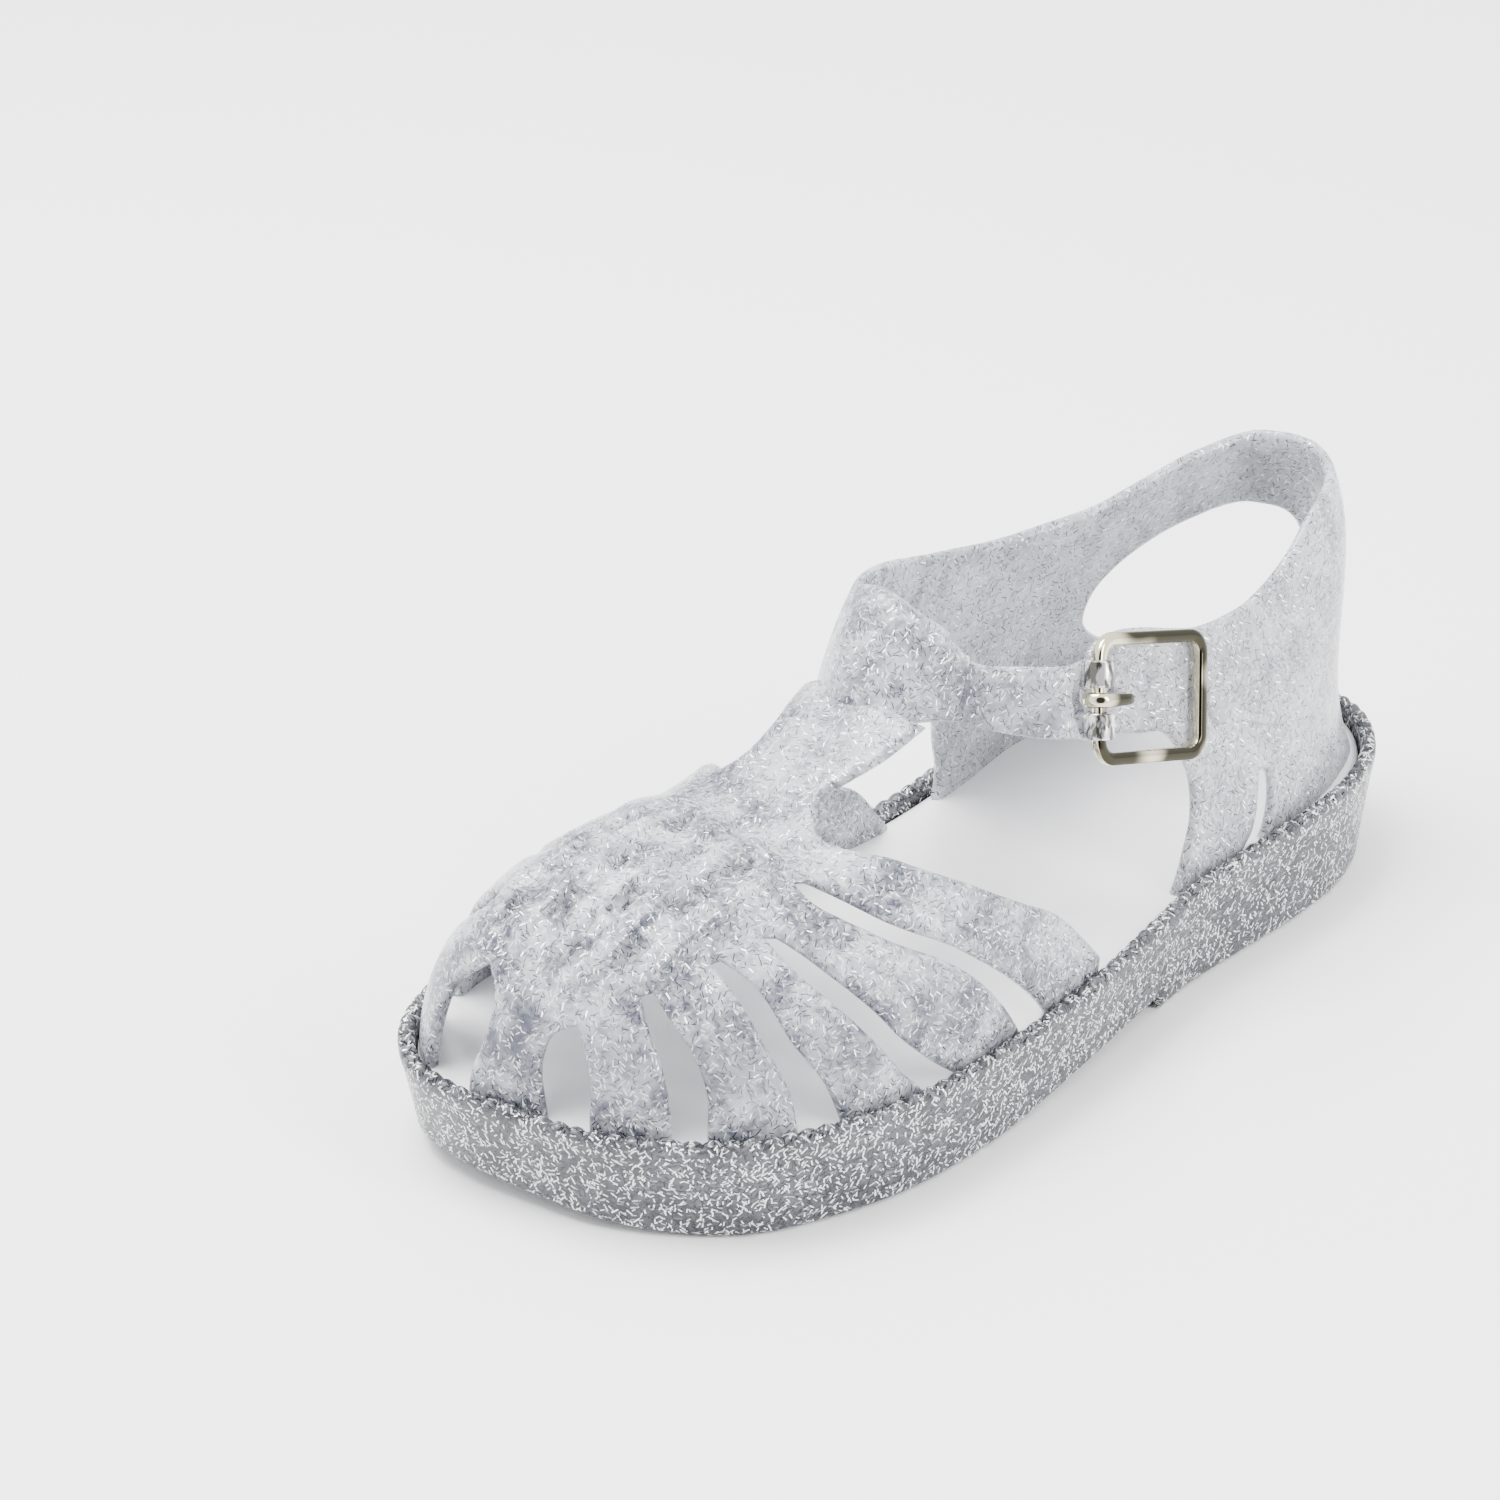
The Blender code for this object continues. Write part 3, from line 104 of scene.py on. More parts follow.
# Weave: raised strips along the foot, and cross strips in rows between them
STRIP_PITCH = 0.0064
STRIP_WIDTH = 0.0036
STRIP_RISE = 0.0009
ROW_PITCH = 0.0052
WEAVE_HOLE = 0.0006
STRIPS = 5
WEAVE_FROM = -0.445
WEAVE_TO = -0.200
WEAVE_FADE_FRONT = 0.004
WEAVE_FADE_BACK = 0.010
STRIP_SIDES = (0.40, 0.60)
STRIP_UNDER = 0.75
STRIP_OVER = 0.5
CROSS_RISE = 0.55
CROSS_SINK = 0.75
CELL_MARGIN = 0.35
CELL_FADE = 0.06
HOLE_OVAL = (0.8, 1.3)

# Buckle, its sleeve and prong
FRAME_LENGTH = 0.0214
FRAME_WIDTH = 0.0163
FRAME_CORNER = 0.0026
WIRE = 0.0019
SLEEVE_WALL = 0.0009
SLEEVE_LENGTH = 0.0108
SLEEVE_ROUND = 0.35 * SLEEVE_WALL
PRONG_GAP = 0.0034
NOTCH_DEPTH = 0.0022
PRONG_WIDE = 0.0020
PRONG_THICK = 0.0011
PRONG_REACH = 0.0062
PRONG_HOLE = 0.0013
PRONG_SHORT = 0.0004
PRONG_TAPER = (0.30, 0.15)
EYE_TURN = (320, 80, -8)
REAR_GAP = 1.3 * CLEARANCE
HOLE_AROUND = (-0.06, 0.05)
HOLE_UP = (0.62, 0.82)
WIRE_HIGH = 0.46
WIRE_SQUARE = 0.72

# Raised bars on the outer heel: how many, their rise and slope, and where they start and end round the ankle
BARS = 3
BAR_RISE = 0.0004
BAR_LEVEL = 0.66
BAR_PITCH = 0.045
BAR_SLOPE = 0.5
BAR_MIDDLE = 0.16
BAR_START = (0.142, 0.150)
BAR_END = (0.172, 0.182)
BAR_EDGE = (0.0003, 0.0009)

# Edges of the moulded wall: radius, rows of points as shares of it, and the least share of the thickness.
# Then the strap's raised root.
WALL_ROUND = 0.0009
ROUND_ROWS = (0.12, 0.4, 0.95)
THINNEST = 0.22
ROOT_WALL = 0.8 * WALL
ROOT_LIFT = 0.30 * WALL
ROOT_ROUND = 0.0007

# Loop of the T-bar: least gap to the strap, and thickness of its thin ends and of its upper and lower rolls
LOOP_STATIONS = 81
LOOP_SIDES = 64
LOOP_SMOOTH = 9
LOOP_CLOSE = 0.00006
LOOP_THIN = 0.12
LOOP_ROLL = 0.62
LOOP_ROLL_THIN = 0.15
LOOP_TAPER = 0.55

# Mesh fineness of the finished skins
OUTLINE_SAMPLES = 2400
WALL_SAMPLES = 1440
VAMP_SAMPLES = 97
TINY = 0.0002
EDGE_STEP = 0.0008
SHEET_GRID = 0.0014
WEAVE_GRID = 0.00055
SOLE_GRID = 0.0035
BED_GRID = 0.0025
STEP_CLEAR = 0.0012
STEP_SAMPLES = 60
STEP_HALF = 0.024
SHEET_CLEAR = 0.0010
SHARP_ANGLE = 50
SOLE_STATIONS = 1184
BED_STATIONS = 360

# Rim outline seen from above, counter-clockwise from the toe: across as a share of BALL, along of LENGTH
OUTLINE = (
    (-0.260, -0.4955), (-0.120, -0.4960), (0.020, -0.4790), (0.180, -0.4530), (0.300, -0.4150),
    (0.405, -0.3640), (0.465, -0.3000), (0.498, -0.2320), (0.496, -0.1450), (0.472, -0.0650),
    (0.440, 0.0150), (0.398, 0.0860), (0.356, 0.1600), (0.338, 0.2400), (0.322, 0.3200),
    (0.286, 0.3920), (0.206, 0.4530), (0.085, 0.4910), (-0.040, 0.4995), (-0.150, 0.4930),
    (-0.262, 0.4620), (-0.358, 0.4010), (-0.412, 0.3300), (-0.426, 0.2500), (-0.405, 0.1700),
    (-0.372, 0.1000), (-0.360, 0.0250), (-0.385, -0.0650), (-0.440, -0.1500), (-0.492, -0.2400),
    (-0.497, -0.3300), (-0.455, -0.4100), (-0.370, -0.4680),
)

# Crest of the vamp and T-bar: along (LENGTH), across (BALL), height (INSTEP)
CREST = (
    (-0.5560, -0.0145, 1.000), (-0.2222, -0.0145, 1.000), (-0.1358, -0.0435, 1.133),
    (-0.0679, -0.0652, 1.265), (-0.0185, -0.0652, 1.422), (0.0370, -0.0652, 1.614),
    (0.0926, -0.0652, 1.807),
)
VAMP_SQUARE_ACROSS = 2.75
VAMP_SQUARE_UP = 2.30
VAMP_SINK = 0.0055

# Quarter and ankle strap: rows run from the outer side round the heel, each with a point at four heights.
# Heights are shares of COLLAR; across is a share of BALL and along of LENGTH.
QUARTER_LEVELS = (0.266, 0.484, 0.726, 0.968)
LEVELS_BELOW = 0.004
LEVELS_ABOVE = 0.006
QUARTER = (
    ((0.307, 0.160), (0.272, 0.160), (0.203, 0.154), (0.152, 0.173)),
    ((0.293, 0.235), (0.255, 0.235), (0.188, 0.228), (0.135, 0.247)),
    ((0.275, 0.315), (0.239, 0.312), (0.177, 0.306), (0.116, 0.315)),
    ((0.226, 0.389), (0.194, 0.383), (0.159, 0.383), (0.099, 0.380)),
    ((0.128, 0.453), (0.101, 0.443), (0.101, 0.446), (0.067, 0.438)),
    ((-0.043, 0.478), (-0.043, 0.468), (-0.043, 0.479), (-0.043, 0.465)),
    ((-0.214, 0.453), (-0.188, 0.443), (-0.188, 0.446), (-0.154, 0.438)),
    ((-0.316, 0.389), (-0.283, 0.383), (-0.246, 0.383), (-0.186, 0.380)),
    ((-0.368, 0.315), (-0.330, 0.312), (-0.267, 0.306), (-0.203, 0.315)),
    ((-0.380, 0.235), (-0.345, 0.235), (-0.284, 0.228), (-0.232, 0.247)),
    ((-0.337, 0.136), (-0.324, 0.136), (-0.293, 0.136), (-0.261, 0.167)),
    ((-0.309, 0.031), (-0.294, 0.025), (-0.283, 0.019), (-0.268, 0.062)),
    ((-0.246, -0.099), (-0.232, -0.080), (-0.217, -0.068), (-0.225, -0.019)),
    ((-0.058, -0.179), (-0.058, -0.136), (-0.058, -0.096), (-0.072, -0.028)),
    ((0.145, -0.123), (0.130, -0.086), (0.087, -0.056), (0.043, 0.000)),
    ((0.283, 0.000), (0.246, 0.012), (0.181, 0.022), (0.116, 0.049)),
    ((0.319, 0.086), (0.280, 0.093), (0.203, 0.090), (0.152, 0.111)),
)

# Slots of the cage, outer side: each rail runs from the weave to the rim, across (BALL) and along (LENGTH)
SLOTS = (
    (((0.104, -0.457), (0.055, -0.480), (0.052, -0.505), (0.087, -0.548), (0.115, -0.600)),
     ((0.104, -0.457), (0.135, -0.469), (0.187, -0.492), (0.214, -0.527), (0.265, -0.575))),
    (((0.185, -0.404), (0.238, -0.420), (0.300, -0.434), (0.356, -0.453), (0.407, -0.478), (0.500, -0.525)),
     ((0.200, -0.395), (0.250, -0.400), (0.308, -0.404), (0.360, -0.410), (0.420, -0.423), (0.477, -0.450),
      (0.600, -0.505))),
    (((0.243, -0.344), (0.348, -0.347), (0.441, -0.351), (0.556, -0.354), (0.609, -0.361), (0.760, -0.385)),
     ((0.250, -0.336), (0.336, -0.327), (0.464, -0.327), (0.580, -0.315), (0.649, -0.312), (0.800, -0.310))),
    (((0.266, -0.295), (0.365, -0.289), (0.504, -0.262), (0.614, -0.233), (0.696, -0.208), (0.850, -0.175)),
     ((0.282, -0.285), (0.400, -0.264), (0.539, -0.229), (0.649, -0.198), (0.725, -0.176), (0.880, -0.128))),
    (((0.197, -0.238), (0.243, -0.240), (0.365, -0.211), (0.533, -0.159), (0.678, -0.119), (0.806, -0.092),
      (0.960, -0.068)),
     ((0.209, -0.228), (0.365, -0.196), (0.539, -0.144), (0.701, -0.095), (0.812, -0.065), (0.960, -0.035))),
)
MIDLINE = -0.022

# Back edge of the cage and sides of the T-bar: from the outer rim up to the loop, then down the inner side
CAGE_BACK_OUTER = (
    (0.950, 0.025), (0.875, 0.008), (0.707, -0.032), (0.504, -0.101), (0.319, -0.158), (0.122, -0.186),
    (0.094, -0.167), (0.122, -0.140), (0.155, -0.110), (0.182, -0.072),
)
CAGE_BACK_INNER = (
    (-0.176, -0.072), (-0.158, -0.100), (-0.138, -0.130), (-0.142, -0.158), (-0.185, -0.180),
    (-0.319, -0.146), (-0.480, -0.076), (-0.580, -0.030), (-0.680, 0.006), (-0.832, 0.037), (-0.950, 0.058),
)

# Quarter pattern unrolled: round the ankle as a share of its length, height as a share of COLLAR
TONGUE_AND_FRONT = (
    (-0.0545, 0.765), (-0.0480, 0.710), (-0.0330, 0.672), (-0.0130, 0.645), (0.0070, 0.620),
    (0.0135, 0.587), (0.0155, 0.560),
    (0.0187, 0.510), (0.0165, 0.445), (0.0126, 0.400), (0.0045, 0.342), (-0.002, 0.284), (-0.007, 0.235),
)
INNER_FRONT = (
    (0.552, 0.235), (0.550, 0.290), (0.5545, 0.400), (0.556, 0.470), (0.570, 0.560), (0.600, 0.640),
    (0.650, 0.715), (0.700, 0.775), (0.760, 0.800), (0.8145, 0.800), (0.8414, 0.782), (0.8644, 0.757),
    (0.9083, 0.716), (0.9280, 0.702),
)
STRAP_TOP = (
    (0.9280, 0.856), (0.8980, 0.870), (0.8518, 0.890), (0.8000, 0.935), (0.7400, 0.968), (0.6900, 0.975),
    (0.6436, 0.970), (0.5800, 0.930), (0.5207, 0.903), (0.4772, 0.906), (0.4372, 0.915), (0.4064, 0.948),
    (0.3707, 0.980), (0.3416, 0.993), (0.3042, 1.000), (0.2780, 0.997), (0.2520, 0.988), (0.2260, 0.976),
    (0.2000, 0.958), (0.1780, 0.931), (0.1625, 0.903), (0.1417, 0.860), (0.1220, 0.822), (0.1043, 0.800),
    (0.0780, 0.792), (0.0520, 0.800), (0.0290, 0.826), (0.0000, 0.862), (-0.0250, 0.878), (-0.0420, 0.868),
    (-0.0520, 0.825),
)
WINDOW = (
    (0.4215, 0.560), (0.4185, 0.655), (0.4020, 0.721), (0.3824, 0.755), (0.3564, 0.777), (0.3260, 0.789),
    (0.2977, 0.787), (0.2780, 0.768), (0.2686, 0.718), (0.2712, 0.637), (0.2847, 0.540), (0.3086, 0.465),
    (0.3390, 0.439), (0.3780, 0.450), (0.4060, 0.487),
)
HEEL_SLIT = (
    (0.0800, 0.430), (0.0752, 0.387), (0.0708, 0.329), (0.0648, 0.284), (0.0580, 0.257), (0.0735, 0.257),
    (0.0791, 0.277), (0.0813, 0.297), (0.0856, 0.355), (0.0856, 0.415),
)
STRAP_ROOT = (
    (0.0480, 0.587), (0.0730, 0.555), (0.0895, 0.523), (0.1187, 0.490), (0.1370, 0.478), (0.1400, 0.520),
    (0.1340, 0.590), (0.1270, 0.625), (0.0950, 0.650), (0.0480, 0.700),
)
LOOP_ENDS = (0.690, 0.838)
SLEEVE_AT = (-0.0550, 0.772)
FRAME_END_AT = (0.0400, 0.668)
LIFT_FROM = 0.880
LIFT_FULL = 0.920

# Section of the T-bar's loop round the strap: out of the wall and up, each from -1 to 1
LOOP_SECTION = (
    (0.95, -0.90), (1.0, -0.4), (1.0, 0.4), (0.93, 0.86), (0.4, 1.0), (-0.4, 1.0), (-0.93, 0.88), (-1.0, 0.4),
    (-1.0, -0.4), (-0.95, -0.90), (-0.4, -1.0), (0.4, -1.0),
)

# Prong from its eye to the hole: reach as a share of PRONG_REACH, height as a share of the eye's radius
PRONG_PATH = ((0.35, 0.98), (0.70, 0.90), (0.90, 0.45), (0.97, -0.40), (0.95, -1.15))

# Layers of needles: scale, length and width as shares of a cell, and shift
SOLE_NEEDLES = (
    (800.0, 0.48, 0.085, (0.0, 0.0, 0.0)), (1050.0, 0.48, 0.10, (0.31, 0.17, 0.05)),
    (1350.0, 0.45, 0.11, (0.07, 0.41, 0.23)),
)
JELLY_NEEDLES = ((900.0, 0.46, 0.07, (0.11, 0.0, 0.21)), (1250.0, 0.44, 0.085, (0.27, 0.13, 0.09)))

# Stage: camera, lights (name, place, size and share of the key's power) and the dark card that metal mirrors,
# as a direction from the shoe
CAMERA_TARGET = (-0.02305, 0.01023, 0.0)
CAMERA_SHIFT = (-0.0933, 0.1)
LIGHT_TARGET = (0.0, 0.0, 0.02)
LIGHTS = (
    ("key", (-0.25, -0.15, 0.75), (0.5, 0.5), 1.0),
    ("side", (0.75, 0.25, 0.45), (0.25, 0.6), 0.5),
)
DARK_CARD = (0.72, -0.52, 0.46)

# Direction in which the buckle's outer face looks; a dark reflection is painted on faces turned this way
DARK_REFLECTION_FACING = (0.946, 0.134, 0.294)


def hermite(u, step, here, there, slope_here, slope_there):
    """Cubic between two points, for shares u of the step between them."""
    return (
        (2 * u**3 - 3 * u**2 + 1) * here
        + (u**3 - 2 * u**2 + u) * step * slope_here
        + (-2 * u**3 + 3 * u**2) * there
        + (u**3 - u**2) * step * slope_there
    )


def closed_curve(points, count):
    """A smooth closed curve through the points, with count samples."""
    pts = np.array(points, float)
    after = np.roll(pts, -1, axis=0)
    before = np.roll(pts, 1, axis=0)
    ahead = np.linalg.norm(after - pts, axis=1)
    behind = np.roll(ahead, 1)
    slope = (pts - before) / behind[:, None] * ahead[:, None]
    slope += (after - pts) / ahead[:, None] * behind[:, None]
    slope /= (ahead + behind)[:, None]
    run = np.concatenate([[0.0], np.cumsum(ahead)])
    along = np.linspace(0.0, run[-1], count, endpoint=False)
    k = np.searchsorted(run, along, side="right") - 1
    step = (run[k + 1] - run[k])[:, None]
    u = (along - run[k])[:, None] / step
    nxt = (k + 1) % len(pts)
    return hermite(u, step, pts[k], pts[nxt], slope[k], slope[nxt])


def open_curve(points, spacing):
    """A smooth open curve through the points, sampled about every spacing, both ends kept."""
    pts = np.array(points, float)
    gaps = np.linalg.norm(np.diff(pts, axis=0), axis=1)
    run = np.concatenate([[0.0], np.cumsum(gaps)])
    slope = np.gradient(pts, run, axis=0)
    count = max(2, int(round(run[-1] / spacing)) + 1)
    along = np.linspace(0.0, run[-1], count)
    k = np.clip(np.searchsorted(run, along, side="right") - 1, 0, len(gaps) - 1)
    step = (run[k + 1] - run[k])[:, None]
    u = (along - run[k])[:, None] / step
    return hermite(u, step, pts[k], pts[k + 1], slope[k], slope[k + 1])


def steady(y, at, values):
    """Interpolation that never overshoots its table."""
    at = np.asarray(at, float)
    values = np.asarray(values, float)
    step = np.diff(at)
    rise = np.diff(values) / step
    slope = np.zeros_like(values)
    both = rise[:-1] * rise[1:]
    slope[1:-1] = np.where(both > 0, 2 * both / (rise[:-1] + rise[1:] + 1e-30), 0)
    slope[0] = rise[0]
    slope[-1] = rise[-1]
    y = np.clip(y, at[0], at[-1])
    k = np.clip(np.searchsorted(at, y, side="right") - 1, 0, len(at) - 2)
    return hermite((y - at[k]) / step[k], step[k], values[k], values[k + 1], slope[k], slope[k + 1])


def smooth_step(x, start, end):
    t = np.clip((x - start) / (end - start), 0.0, 1.0)
    return t * t * (3 - 2 * t)


def rim_height(y):
    """Top of the sole's rim, which rises under the heel."""
    share = smooth_step(y, RIM_RISE_FROM * LENGTH, RIM_RISE_TO * LENGTH)
    return SOLE_FORE + (SOLE_HEEL - SOLE_FORE) * share


def ground(y):
    """Underside of the sole: toe spring, arch and the step down to the heel block."""
    past = np.clip((TOE_SPRING_FROM * LENGTH - y) / ((0.5 + TOE_SPRING_FROM) * LENGTH), 0.0, 1.0)
    arch = smooth_step(y, ARCH_FROM * LENGTH, (ARCH_FROM + ARCH_RUN) * LENGTH)
    block = np.clip((y - HEEL_STEP_AT * LENGTH) / STEP_RUN, 0.0, 1.0)
    return TOE_SPRING * past**2 + ARCH_RISE * arch * (1 - block)


def bed_height(y):
    return rim_height(y) - RIM_OVER_BED


def outward(points):
    """Unit normals of a counter-clockwise loop."""
    along = np.roll(points, -1, axis=0) - np.roll(points, 1, axis=0)
    along /= np.linalg.norm(along, axis=1)[:, None]
    return np.column_stack([along[:, 1], -along[:, 0]])


class Outline:
    """The rim seen from above, with the stations that sole, footbed and flange share."""

    def __init__(self):
        curve = closed_curve([(a * BALL, b * LENGTH) for a, b in OUTLINE], OUTLINE_SAMPLES)
        run = np.concatenate([[0.0], np.cumsum(np.linalg.norm(np.roll(curve, -1, 0) - curve, axis=1))])
        self.curve = np.vstack([curve, curve[:1]])
        self.run = run
        normal = outward(curve)
        self.normal = np.vstack([normal, normal[:1]])

    def stations(self, count):
        """Evenly spaced places along the outline."""
        return np.linspace(0.0, self.run[-1], count, endpoint=False)

    def ring(self, inset, at):
        """Points on the outline moved inwards by inset."""
        place, normal = (
            np.column_stack([np.interp(at, self.run, values[:, axis]) for axis in (0, 1)])
            for values in (self.curve, self.normal)
        )
        return place - inset * normal


class Vamp:
    """Outer surface of the cage, unrolled: across and along from the crest, a fan in front of its centre."""

    TURNS = np.linspace(0.0, math.pi / 2, VAMP_SAMPLES)

    def __init__(self):
        rows = np.array(CREST)
        self.at = rows[:, 0] * LENGTH
        self.across = rows[:, 1] * BALL
        self.height = rows[:, 2] * INSTEP
        self.centre = self.at[1]
        wall = RIM.ring(WALL_INSET, RIM.stations(WALL_SAMPLES))
        x = wall[:, 0] - self.across[1]
        y = self.centre - wall[:, 1]
        turn = np.arctan2(y, x)
        order = np.argsort(turn)
        self.turn = turn[order]
        self.radius = np.hypot(x, y)[order]
        wall = wall[np.argsort(wall[:, 1])]
        outside = wall[:, 0] > self.across[-1]
        self.outer, self.inner = wall[outside], wall[~outside]

    def section(self, across, along):
        """Centre, direction, radius and profile of the section through each point."""
        fan = along < self.centre
        turn = np.arctan2(self.centre - along, across)
        side = np.where(across >= 0, 1.0, -1.0)
        dx = np.where(fan, np.cos(turn), side)
        dy = np.where(fan, -np.sin(turn), 0.0)
        base = np.where(fan, self.centre, along)
        cx = steady(base, self.at, self.across)
        cz = steady(base, self.at, self.height)
        outer = np.interp(along, self.outer[:, 1], self.outer[:, 0]) - cx
        inner = cx - np.interp(along, self.inner[:, 1], self.inner[:, 0])
        radius = np.where(fan, np.interp(turn, self.turn, self.radius), np.where(side > 0, outer, inner))
        low = rim_height(base + dy * radius) - VAMP_SINK
        reach = radius[:, None] * np.sin(self.TURNS) ** (2 / VAMP_SQUARE_ACROSS)
        rise = (cz - low)[:, None] * np.cos(self.TURNS) ** (2 / VAMP_SQUARE_UP)
        run = np.cumsum(np.hypot(np.diff(reach, axis=1), np.diff(rise, axis=1)), axis=1)
        run = np.hstack([np.zeros((len(radius), 1)), run])
        return cx, base, dx, dy, low, reach, rise, run

    def point(self, across, along):
        across = np.asarray(across, float)
        along = np.asarray(along, float)
        cx, base, dx, dy, low, reach, rise, run = self.section(across, along)
        length = np.where(along < self.centre, np.hypot(across, self.centre - along), np.abs(across))
        k = np.clip([np.searchsorted(r, a) for r, a in zip(run, length)], 1, len(self.TURNS) - 1)
        i = np.arange(len(across))
        share = (length - run[i, k - 1]) / (run[i, k] - run[i, k - 1] + 1e-12)
        r = reach[i, k - 1] + (reach[i, k] - reach[i, k - 1]) * share
        z = low + rise[i, k - 1] + (rise[i, k] - rise[i, k - 1]) * share
        return np.column_stack([cx + dx * r, base + dy * r, z])

    def foot(self, across, along, below_rim):
        """The pattern point straight down the wall from this one, this far below the rim's top."""
        across = np.atleast_1d(np.asarray(across, float))
        along = np.atleast_1d(np.asarray(along, float))
        _, base, dx, dy, low, reach, rise, run = self.section(across, along)
        target = VAMP_SINK - below_rim
        length = np.array([np.interp(target, v[::-1], r[::-1]) for v, r in zip(rise, run)])
        fan = along < self.centre
        x = np.where(fan, dx * length, np.sign(dx) * length)
        y = np.where(fan, self.centre + dy * length, along)
        return np.column_stack([x, y])


class Quarter:
    """The outer surface of heel, collar and ankle strap: round the ankle, and height."""

    def __init__(self):
        self.rows = np.array(QUARTER) * (BALL, LENGTH)
        self.levels = np.array(QUARTER_LEVELS) * COLLAR
        flat = self.rows[:, 1]
        self.run = np.concatenate([[0.0], np.cumsum(np.linalg.norm(np.roll(flat, -1, 0) - flat, axis=1))])
        self.length = self.run[-1]
        scaled = (self.levels - self.levels[1]) / COLLAR
        self.powers = np.linalg.inv(np.vander(scaled, 4))
        self.count = len(self.rows)

    def point(self, around, height):
        around = np.mod(np.asarray(around, float), self.length)
        height = np.asarray(height, float)
        bounded = np.clip(height, self.levels[0] - LEVELS_BELOW, self.levels[-1] + LEVELS_ABOVE)
        weights = np.vander((bounded - self.levels[1]) / COLLAR, 4) @ self.powers
        k = np.clip(np.searchsorted(self.run, around, side="right") - 1, 0, self.count - 1)

        def row(j):
            return np.einsum("ij,ijc->ic", weights, self.rows[j % self.count])

        def gap(j):
            j = j % self.count
            return (self.run[j + 1] - self.run[j])[:, None]

        def slope(j):
            here, ahead, behind = row(j), gap(j), gap(j - 1)
            bend = (here - row(j - 1)) / behind * ahead + (row(j + 1) - here) / ahead * behind
            return bend / (ahead + behind)

        step = gap(k)
        u = (around - self.run[k])[:, None] / step
        flat = hermite(u, step, row(k), row(k + 1), slope(k), slope(k + 1))
        return np.column_stack([flat, height])


def offset_point(surface, a, b, out):
    """Points off the surface by out along its outward normal, and that normal."""
    a = np.asarray(a, float)
    b = np.asarray(b, float)
    across = surface.point(a + TINY, b) - surface.point(a - TINY, b)
    along = surface.point(a, b + TINY) - surface.point(a, b - TINY)
    normal = np.cross(across, along)
    normal /= np.linalg.norm(normal, axis=1)[:, None] + 1e-20
    return surface.point(a, b) + normal * np.asarray(out, float)[:, None], normal


def inside(loop, points):
    """Even-odd test of points in a closed loop."""
    x, y = points[:, 0], points[:, 1]
    result = np.zeros(len(points), bool)
    for (x0, y0), (x1, y1) in zip(loop, np.roll(loop, -1, axis=0)):
        crossing = (y0 > y) != (y1 > y)
        at = x0 + (y - y0) * (x1 - x0) / (y1 - y0 + 1e-30)
        result ^= crossing & (x < at)
    return result


def on_sheet(loops, points):
    """Which points lie in the first loop and in none of the holes after it."""
    keep = inside(loops[0], points)
    for hole in loops[1:]:
        keep &= ~inside(hole, points)
    return keep


def clearance(loops, points):
    """Distance of each point from the nearest loop edge."""
    best = np.full(len(points), 1e9)
    for loop in loops:
        for p, q in zip(loop, np.roll(loop, -1, axis=0)):
            edge = q - p
            t = np.clip(((points - p) @ edge) / (edge @ edge + 1e-30), 0, 1)
            best = np.minimum(best, np.linalg.norm(points - p - t[:, None] * edge, axis=1))
    return best


def triangulate(loops, extra):
    """Triangles between the first loop and the holes after it, through the extra points."""
    vertices = []
    edges = []
    for loop in loops:
        first = len(vertices)
        vertices += [Vector(p) for p in loop]
        edges += [(first + i, first + (i + 1) % len(loop)) for i in range(len(loop))]
    vertices += [Vector(p) for p in extra]
    out, _, faces, _, _, _ = delaunay_2d_cdt(vertices, edges, [], 0, 1e-7)
    points = np.array([tuple(p) for p in out])
    faces = np.array([tuple(f) for f in faces])
    return points, faces[on_sheet(loops, points[faces].mean(axis=1))]


def within(loops, points, margin):
    """The points on the sheet that keep this margin from its edges."""
    points = points[on_sheet(loops, points)]
    return points[clearance(loops, points) > margin]


def grid_points(loops, spacing):
    """A staggered grid inside the loops, clear of their edges."""
    low = loops[0].min(axis=0)
    high = loops[0].max(axis=0)
    rows = np.arange(low[1] + spacing / 2, high[1], spacing * 0.87)
    points = []
    for j, y in enumerate(rows):
        x = np.arange(low[0] + (0.25 + 0.5 * (j % 2)) * spacing, high[0], spacing)
        points.append(np.column_stack([x, np.full(len(x), y)]))
    return within(loops, np.vstack(points), 0.5 * spacing)


def bridge(here, there, count):
    """Quads between two rings of count points each, which start at these vertices."""
    return [(here + k, here + (k + 1) % count, there + (k + 1) % count, there + k) for k in range(count)]


def ring_faces(rows, count, first=0, closed=False):
    """Quads along a stack of rings; closed joins the last ring to the first one."""
    faces = []
    for i in range(rows if closed else rows - 1):
        faces += bridge(first + i * count, first + (i + 1) % rows * count, count)
    return faces


def fill_ring(vertices, faces, first, count, extra, height):
    """Closes a ring with a sheet through the extra points, each at its height, and gives all the vertices."""
    points, tris = triangulate([vertices[first:first + count, :2]], extra)
    inner = points[count:]
    index = np.concatenate([np.arange(count) + first, np.arange(len(inner)) + len(vertices)])
    faces += [tuple(index[list(f)]) for f in tris]
    return np.vstack([vertices, np.column_stack([inner, height(inner)])])


